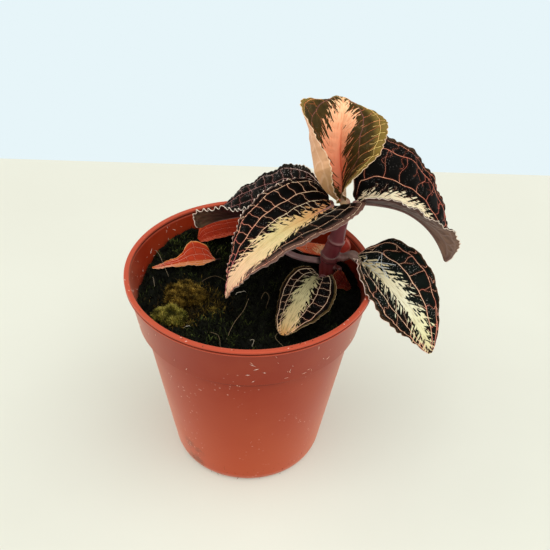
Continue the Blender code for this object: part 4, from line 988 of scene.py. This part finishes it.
def leafletShell(chance, spots, length, lean, tones):
    # moss leaflets: closed thin spikes of four points, leaning every way from the ground
    count = len(spots)
    turn = chance.uniform(0.0, math.tau, count)
    tip = chance.uniform(lean[0], lean[1], count)
    size = chance.uniform(0.6, 1.3, count) * length
    away = np.stack([np.cos(turn) * np.sin(tip), np.sin(turn) * np.sin(tip), np.cos(tip)], -1)
    side = np.stack([-np.sin(turn), np.cos(turn), 0 * turn], -1) * (0.13 * size)[:, None]
    belly = np.cross(side, away) * 0.45
    corners = np.stack([spots + side, spots - side, spots + away * size[:, None],
                        spots + away * (size * 0.45)[:, None] + belly], axis=1)
    shade = np.stack([tones * 0.35, tones * 0.35, np.minimum(tones * 1.15, 1.0), tones], -1)
    return swarmShell(corners, [[0, 1, 3], [1, 2, 3], [2, 0, 3], [1, 0, 2]], shade)


def pressOut(x, y, z):  # moss that has climbed the wall follows its slope outwards
    step = np.clip(np.hypot(x, y) / 40.0, 0.0, 1.0) ** 10 * np.clip(z - 67.0, 0.0, 12.0) * 0.19 / 40.0
    return x * (1.0 + step), y * (1.0 + step)


def makeCarpet():
    chance = np.random.RandomState(ground["seed"])
    outer = ground["outer"]
    radius = outer * np.linspace(0.0, 1.0, ground["rings"] + 1)[1:]
    angle = np.arange(ground["sides"]) * math.tau / ground["sides"]
    x, y = radius[:, None] * np.cos(angle), radius[:, None] * np.sin(angle)
    top = carpetHeight(x, y) + crumbs(x, y, 0.25) * np.clip((outer - radius[:, None]) / 1.5, 0.2, 1.0)
    top = top + ground["clump"] * (clumpAt(x, y)[0] - 0.5)
    points = np.stack([*pressOut(x, y, top), top], -1)
    foot = np.stack([x[-1:], y[-1:], np.full((1, ground["sides"]), ground["foot"])], -1)
    points = np.concatenate([points, foot]).reshape(-1, 3)
    centres = np.array([[0.0, 0.0, float(carpetHeight(0.0, 0.0))], [0.0, 0.0, ground["foot"]]])
    bed = bedShell(points, centres, ground["sides"], 0.12)
    spread = np.sqrt(chance.uniform(0.0, 1.0, ground["shoots"])) * (outer - 0.6)
    turn = chance.uniform(0.0, math.tau, ground["shoots"])
    px, py = spread * np.cos(turn), spread * np.sin(turn)
    holeX, holeY, holeRadius = ground["hole"]
    keep = np.hypot(px - holeX, py - holeY) > holeRadius + 0.8
    px, py = px[keep], py[keep]
    rise, clumpShade = clumpAt(px, py)
    pz = carpetHeight(px, py) + crumbs(px, py, 0.25) + ground["clump"] * (rise - 0.5) - 0.1
    spots = np.stack([*pressOut(px, py, pz), pz], -1)
    # it is greener at the back left and at the front
    green = hill(px, py, -24.0, 28.0, 200.0) + 0.55 * hill(px, py, -10.0, -22.0, 160.0)
    tones = 0.1 + 0.45 * rise * clumpShade + 0.42 * green * rise + chance.normal(0.0, 0.17, len(px))
    # and yellow in a broad patch about the two cushions
    pale = (hill(px, py, -22.0, -1.0, 90.0) + hill(px, py, -27.0, -12.0, 50.0)
            + 0.5 * hill(px, py, -13.0, -5.0, 60.0))
    yellow = pale + chance.normal(0.0, 0.18, len(px)) > 0.55
    tones = np.clip(tones, 0.03, 1.0)
    tufts = ~yellow & (green + chance.normal(0.0, 0.15, len(px)) > 0.6)
    tones[tufts] = np.clip(tones[tufts] + 0.1, 0.0, 1.0)
    plain = ~yellow & ~tufts
    tones[yellow] = np.clip(tones[yellow] + 0.25, 0.0, 1.0)
    shoots = [leafletShell(chance, spots[which], length, (0.2, lean), tones[which])
              for which, length, lean in ((plain, 1.5, 1.25), (tufts, 2.3, 1.1), (yellow, 1.9, 1.3))]
    shoots[2]["skin"] = 1
    skins = [mossSkin("dampDarkMoss", ((0.0, "#080704"), (0.25, "#12140a"), (0.5, "#2c3416"),
                                       (0.75, "#56612a"), (1.0, "#98a052"))),
             mossSkin("yellowingMoss", ((0.0, "#120d06"), (0.3, "#35280e"), (0.6, "#6e5a20"),
                                        (0.85, "#a08a3a"), (1.0, "#c4ae5c")))]
    makePiece("moss_carpet_growth", [bed, *shoots], skins, ["moss_carpet"], 80.0)


cushions = {
    "moss_cushion_yellow": {
        "centre": (-23.6, -0.5), "half": (7.4, 6.8), "height": 2.4, "count": 9000, "seed": 76,
        "stops": ((0.0, "#1c1408"), (0.35, "#4e3b14"), (0.7, "#94742a"), (1.0, "#c8ae58"))},
    "moss_cushion_green": {
        "centre": (-28.2, -11.8), "half": (5.6, 4.4), "height": 1.7, "count": 6000, "seed": 83,
        "stops": ((0.0, "#1a1a0a"), (0.35, "#585a20"), (0.7, "#a89c40"), (1.0, "#dccc74"))},
}


def makeCushion(name, form):
    chance = np.random.RandomState(form["seed"])
    centreX, centreY = form["centre"]
    turns, rows = 72, 30
    angle = np.arange(turns) * math.tau / turns
    out = np.sin(np.linspace(0.02, 1.0, rows) * math.pi / 2)

    def dome(share, turn):
        # a lobed dome on the carpet, from its middle to its edge, with smaller clumps than the carpet's
        lobe = 1.0 + 0.1 * np.sin(3.0 * turn + centreX) + 0.07 * np.sin(5.0 * turn)
        x = centreX + form["half"][0] * lobe * share * np.cos(turn)
        y = centreY + form["half"][1] * lobe * share * np.sin(turn)
        rise = form["height"] * np.sqrt(np.clip(1.0 - share ** 2, 0.0, 1.0))
        lump = crumbs(x, y, 0.3) + 1.3 * (clumpAt(1.6 * x + 30.0, 1.6 * y)[0] - 0.6)
        return x, y, carpetHeight(x, y) + 0.35 + rise * 0.85 + lump * np.clip(rise, 0.0, 1.0)

    points = np.stack(dome(out[:, None], angle[None, :]), -1).reshape(-1, 3)
    foot = [centreX, centreY, float(carpetHeight(centreX, centreY)) + 0.3]
    bed = bedShell(points, np.array([[*map(float, dome(0.0, 0.0))], foot]), turns, 0.2)
    count = form["count"] // 1
    share, spin = np.sqrt(chance.uniform(0, 1, count)) * 1.02, chance.uniform(0, math.tau, count)
    x, y, z = dome(np.minimum(share, 1.0), spin)
    clump, shade = clumpAt(1.6 * x + 30.0, 1.6 * y)
    tones = np.clip(0.15 + 0.45 * clump + 0.3 * shade + chance.normal(0.0, 0.2, count), 0.03, 1.0)
    shoots = leafletShell(chance, np.stack([x, y, z - 0.15], -1), 1.5, (0.1, 1.45), tones)
    skin = mossSkin(name.replace("moss_", "moss "), form["stops"], 0.6, 0.16)
    makePiece(name + "_growth", [bed, shoots], [skin], [name], 80.0)


makeCarpet()
for cushionName, cushionForm in cushions.items():
    makeCushion(cushionName, cushionForm)


def fibreSkin(name, stops):
    # Dry plant fibres and lint: matt, pale and thin.
    skin, tree, shader = newSkin(name, {"Roughness": 0.85, "IOR": 1.4, "Specular IOR Level": 0.2})
    colour = addNode(tree, "ValToRGB", {"stops": stops}, {0: "tone"})
    joinNode(tree, shader, {"Base Color": colour})
    return skin


fibres = (  # x and y along each fibre, its arch above the moss, radius and tone
    (((-0.1, -1.3), (-1.9, -8.8), (-4.8, -16.7), (-7.2, -23.7)), 1.2, 0.16, 0.45),
    (((4.4, -1.6), (5.8, 0.8), (7.3, -2.0), (6.3, -6.1)), 1.5, 0.14, 0.3),
    (((-5.0, 1.4), (-3.1, 0.3), (-1.3, 2.2)), 2.0, 0.16, 1.0),
    (((1.2, -23.9), (2.6, -24.9), (2.0, -27.0)), 1.0, 0.14, 0.7),
    (((-22.4, -17.5), (-21.0, -18.0), (-20.2, -16.9)), 1.4, 0.14, 0.9),
    (((-36.9, 20.1), (-35.2, 17.3), (-33.0, 14.0), (-30.8, 10.5)), 1.6, 0.12, 0.55),
    (((-36.5, 8.2), (-35.8, 6.0), (-35.2, 3.4)), 1.2, 0.13, 0.6),
    (((-11.9, 29.8), (-12.9, 27.1), (-13.9, 25.1)), 1.0, 0.12, 0.5),
    (((8.0, -30.5), (3.0, -33.5), (-4.0, -32.0), (-9.0, -33.0)), 0.9, 0.13, 0.5),
    (((-14.0, -20.0), (-10.0, -22.5), (-9.0, -27.0)), 1.0, 0.13, 0.35),
    (((10.0, -14.0), (12.0, -18.0), (10.0, -23.0), (13.0, -27.0)), 0.9, 0.13, 0.4),
    (((-18.0, 8.0), (-13.0, 10.5), (-8.0, 8.0)), 1.1, 0.13, 0.25),
)


# threads of lint that lie on the lower right leaf, by share along it and place across it
lint = (((0.18, 0.1), (0.28, 0.3), (0.35, 0.45)), ((0.21, 0.52), (0.28, 0.25), (0.38, 0.1)),
        ((0.2, 0.0), (0.24, 0.2), (0.22, 0.4)), ((0.26, -0.1), (0.28, 0.15), (0.34, 0.3)),
        ((0.18, -0.15), (0.26, 0.0), (0.36, 0.05)), ((0.12, 0.32), (0.16, 0.15), (0.15, -0.05)),
        ((0.22, 0.12), (0.31, 0.2), (0.4, 0.12)))


def makeFibres():
    holder, f = leaves["leaf_right_lower"], np.linspace(0.0, 1.0, 24)
    shells = []
    for line in lint:
        share, across = (along(values, f) for values in zip(*line))
        lift = 0.42 + 0.5 * np.sin(f * math.pi)
        path = bladeSpots(holder, share, across) + bladeNormals(holder, share, across) * lift[:, None]
        shells.append(tubeShell(path, 0.08, 6, {"tone": 0.9}))
    thread = fibreSkin("paleLint", ((0.0, "#8a8f90"), (1.0, "#d2dadc")))
    makePiece("leaf_lint", shells, [thread], (), 60.0)
    shells = []
    for line, arch, radius, tone in fibres:
        share = np.linspace(0.0, 1.0, 26)
        x, y = (along(values, share) for values in zip(*line))
        z = carpetHeight(x, y) + 0.7 + arch * np.sin(share * math.pi) ** 0.8
        taper = 0.7 * radius * (1.0 - 0.4 * share)
        shells.append(tubeShell(np.stack([x, y, z], -1), taper, 7, {"tone": tone}))
    skin = fibreSkin("dryFibre", ((0.0, "#3a2a1a"), (0.5, "#8a775a"), (1.0, "#e0dac6")))
    makePiece("moss_fibres", shells, [skin], (), 60.0)


def flakeShell(spots, normals, turn, length, width, tone):
    # flat four-sided flakes with a low crown, each lying on a surface
    level = unit(np.cross(normals, np.array([0.0, 0.0, 1.0]) + 0.01 * normals))
    upright = np.cross(level, normals)
    ahead = level * np.cos(turn)[:, None] + upright * np.sin(turn)[:, None]
    side = np.cross(normals, ahead)
    ends = ahead * (0.5 * length)[:, None]
    flanks = side * (0.5 * width)[:, None]
    corners = np.stack([spots + ends, spots + flanks, spots - ends, spots - flanks, spots + normals * 0.12,
                        spots - normals * 0.05], axis=1)
    faces = [[0, 1, 4], [1, 2, 4], [2, 3, 4], [3, 0, 4], [1, 0, 5], [2, 1, 5], [3, 2, 5], [0, 3, 5]]
    return swarmShell(corners, faces, np.repeat(tone, 6))


dustPatches = (  # on the collar, the body's right front and left, the inner wall and the foot
    (26, (-92, -10), (64.5, 79.5), 1, (0.8, 2.4), (0.55, 1.0)),
    (46, (-95, -12), (26.0, 61.0), 1, (0.6, 2.2), (0.55, 1.0)),
    (24, (-172, -100), (30.0, 79.0), 1, (0.4, 1.3), (0.55, 1.0)),
    (44, (105, 215), (70.0, 79.5), -1, (0.5, 1.8), (0.5, 1.0)),
    (26, (-140, -40), (0.6, 9.0), 1, (0.4, 1.3), (0.0, 0.35)),
)


def makeDust():
    # each patch has its count, angles, heights, side of the wall, lengths and tones
    chance = np.random.RandomState(31)
    shells = []
    for count, angles, heights, facing, lengths, tones in dustPatches:
        turn, z = np.radians(chance.uniform(*angles, count)), chance.uniform(*heights, count)
        reach = np.array([pottedWall(height) for height in z]) + (pot["wall"] if facing > 0 else 0.0)
        reach = np.where(z < pot["fillet"], pot["bodyFoot"] - 0.25 * (pot["fillet"] - z), reach)
        outward = compass(turn)
        spots = outward * reach[:, None] + z[:, None] * np.array([0.0, 0.0, 1.0])
        length = chance.uniform(*lengths, count) * np.where(chance.rand(count) < 0.15, 1.8, 1.0)
        shells.append(flakeShell(spots, outward * facing, chance.uniform(0, math.pi, count), length,
                                 chance.uniform(0.14, 0.26, count), chance.uniform(*tones, count)))
    count = 30  # more lie on the lip
    turn = np.radians(chance.uniform(-170, 10, count))
    reach = chance.uniform(pot["rim"] - 1.5, pot["rim"] - 0.4, count)
    spots = np.stack([np.cos(turn) * reach, np.sin(turn) * reach, np.full(count, pot["height"])], -1)
    shells.append(flakeShell(spots, np.tile([0.05, 0.0, 1.0], (count, 1)), chance.uniform(0, math.pi, count),
                             chance.uniform(0.4, 1.3, count), chance.uniform(0.2, 0.4, count),
                             chance.uniform(0.0, 1.0, count)))
    skin = fibreSkin("lintAndGrit", ((0.0, "#2e1a12"), (0.35, "#8a4a2c"), (0.6, "#dca890"), (1.0, "#f4e2d4")))
    makePiece("pot_dust", shells, [skin], (), 60.0)


makeFibres()
makeDust()


def barkSkin():
    # Growing mix: composted bark and peat, dark brown crumbs.
    skin, tree, shader = newSkin("compostedBark", {"Roughness": 0.9, "IOR": 1.4})
    crumb = addNode(tree, "TexVoronoi", {"Scale": 420.0}, {"Vector": "Object"})
    colour = addNode(tree, "ValToRGB", {"stops": ((0.0, "#1a120c"), (0.5, "#3a2a1c"), (1.0, "#5a4430"))},
                     {0: crumb})
    bump = addNode(tree, "Bump", {"Strength": 0.6, "Distance": 0.0008}, {"Height": crumb})
    joinNode(tree, shader, {"Base Color": colour, "Normal": bump})
    return skin


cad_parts["soil"].data.materials.clear()
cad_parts["soil"].data.materials.append(barkSkin())
print("moss and mix laid")


stem = {"points": ((29.7, 9.8, 56.0, 2.3), (29.5, 9.8, 64.0, 2.6), (28.9, 9.8, 70.0, 2.9),
                   (28.5, 9.8, 76.0, 3.1), (29.1, 9.8, 82.2, 3.1), (31.0, 9.8, 88.8, 2.85),
                   (32.0, 9.85, 94.0, 2.4), (33.5, 10.0, 102.4, 2.1), (33.9, 10.0, 104.3, 1.9)),
        "rings": ((82.2, 0.42, 0.55), (88.8, 0.5, 0.6), (103.3, 0.35, 0.5)), "rows": 220, "sides": 56}


def stemSkin():
    # Jewel orchid stem: smooth juicy skin, wine red, with paler scars where old leaves sat.
    skin, tree, shader = newSkin("wineRedStemSkin", {"Roughness": 0.38, "IOR": 1.4, "Subsurface Weight": 0.1,
                                                     "Subsurface Radius": (0.004, 0.001, 0.0008),
                                                     "Subsurface Scale": 0.5})
    colour = addNode(tree, "ValToRGB",
                     {"stops": ((0.0, "#4a1a16"), (0.3, "#5e1e18"), (0.42, "#6c241f"), (0.5, "#5e2529"),
                                (0.62, "#702d33"), (0.85, "#82424a"), (1.0, "#9c6460"))}, {0: "along"})
    run = addNode(tree, "Mapping", {"Scale": (900.0, 900.0, 90.0)}, {"Vector": "Object"})
    streaks = addNode(tree, "TexNoise", {"Scale": 1.0, "Detail": 3.0}, {"Vector": run})
    shade = addNode(tree, "MapRange", {1: 0.4, 2: 0.7, 4: 0.45}, {0: streaks})
    streaked = addNode(tree, "Mix", {7: "#7d3f42"}, {0: shade, 6: colour})
    scarred = addNode(tree, "Mix", {7: "#b48c86"}, {0: "scar", 6: streaked})
    joinNode(tree, shader, {"Base Color": scarred})
    return skin


def makeStem():  # a tube through the stations, with a swelling and a pale scar at each ring
    stations = np.array(stem["points"])
    z = np.linspace(stations[0, 2], stations[-1, 2], stem["rows"])
    place = np.interp(z, stations[:, 2], np.arange(len(stations))) / (len(stations) - 1)
    x, y, radius = (along(stations[:, axis], place) for axis in (0, 1, 3))
    scar = np.zeros_like(z)
    for height, swell, reach in stem["rings"]:
        radius = radius + swell * np.exp(-((z - height) / reach) ** 2)
        scar = np.maximum(scar, 0.55 * np.exp(-((z - height - 0.35) / 0.28) ** 2))
    fields = {"along": (z - z[0]) / (z[-1] - z[0]), "scar": scar}
    tube = tubeShell(np.stack([x, y, z], -1), radius, stem["sides"], fields, 1.0, (0.0, 1.0, 0.0))
    makePiece("stem_skin", [tube], [stemSkin()], ["stem"])


makeStem()
print("stem drawn")


def floorSkin():
    # Painted board: warm off-white, matt, with barely visible marks. A faint glow stands for the light that
    # a whole bright room throws back, so the shade beside the pot stays pale as in the photograph.
    skin, tree, shader = newSkin("paintedBoard", {"Roughness": 0.7, "IOR": 1.45, "Emission Strength": 1.0,
                                                  "Emission Color": "#888980"})
    cloud = addNode(tree, "TexNoise", {"Scale": 9.0, "Detail": 4.0}, {"Vector": "Object"})
    colour = addNode(tree, "ValToRGB", {"stops": ((0.3, "#b8b9ae"), (0.7, "#bdbfb4"))}, {0: cloud})
    joinNode(tree, shader, {"Base Color": colour})
    return skin


def makeStage():
    half, back = 1.6, 0.2035  # metres; the board's back edge lies behind the pot, as in the photograph
    mesh = bpy.data.meshes.new("floor")
    mesh.from_pydata([(-half, -half, 0.0), (half, -half, 0.0), (half, back, 0.0), (-half, back, 0.0)], [],
                     [(0, 1, 2, 3)])
    mesh.materials.append(floorSkin())
    floor = newObject("floor", mesh)
    # the camera sees an even pale backdrop, and the light comes from above and from both sides
    world = bpy.data.worlds.new("studio")
    tree = newTree(world)
    ray = addNode(tree, "LightPath")
    place = addNode(tree, "TexCoord")
    parts = addNode(tree, "SeparateXYZ", None, {"Vector": (place, "Generated")})
    sideways = addNode(tree, "Math", {"operation": "POWER", 1: 2.0}, {0: (parts, "X")})
    upward = addNode(tree, "VectorMath", {"operation": "DOT_PRODUCT", 1: (-0.16, -0.06, 0.35)},
                     {0: (place, "Generated")})
    lit = addNode(tree, "Math", {"operation": "MULTIPLY_ADD", 1: 2.1}, {0: sideways, 2: (upward, "Value")})
    level = addNode(tree, "Math", {"operation": "ADD", 1: 0.15}, {0: lit})
    soft = addNode(tree, "Background", {"Color": "#fbf9f2"}, {"Strength": level})
    seen = addNode(tree, "Background", {"Color": "#e7f5f9"})
    both = addNode(tree, "MixShader", None, {0: (ray, "Is Camera Ray"), 1: soft, 2: seen})
    addNode(tree, "OutputWorld", None, {"Surface": both})
    bpy.context.scene.world = world


def makeLight(name, place, target, size, watts, colour):
    lamp = bpy.data.lights.new(name, "AREA")
    lamp.shape = "DISK"
    lamp.size = size
    lamp.energy = watts
    lamp.color = hexColour(colour)[:3]
    item = newObject(name, lamp)
    item.location = place
    item.rotation_mode = "QUATERNION"
    item.rotation_quaternion = (Vector(target) - Vector(place)).to_track_quat("-Z", "Y")


def makeCamera():
    # the photograph's view, from a perspective fit of the pot's rim, collar and foot
    pitch, roll = math.radians(37.72), math.radians(1.79)
    lens = bpy.data.cameras.new("camera")
    lens.sensor_width = 36.0
    lens.lens = lens.sensor_width * 1000.0 / 550.0  # a focal length of 1000 pixels on a picture 550 wide
    view = newObject("camera", lens)
    ahead = Vector((0.0, math.cos(pitch), -math.sin(pitch)))
    right, above = Vector((1.0, 0.0, 0.0)), Vector((0.0, math.sin(pitch), math.cos(pitch)))
    across = right * math.cos(roll) + above * math.sin(roll)
    upright = above * math.cos(roll) - right * math.sin(roll)
    turn = Matrix((across, upright, -ahead)).transposed().to_4x4()
    turn.translation = Vector((0.0092, -0.2857, 0.3005))
    view.matrix_world = turn
    bpy.context.scene.camera = view


makeStage()
makeLight("window", (0.3, -0.5, 1.6), (0.0, 0.0, 0.08), 1.6, 17.0, "#f7faff")
makeCamera()
bpy.context.scene.view_settings.view_transform = "Standard"
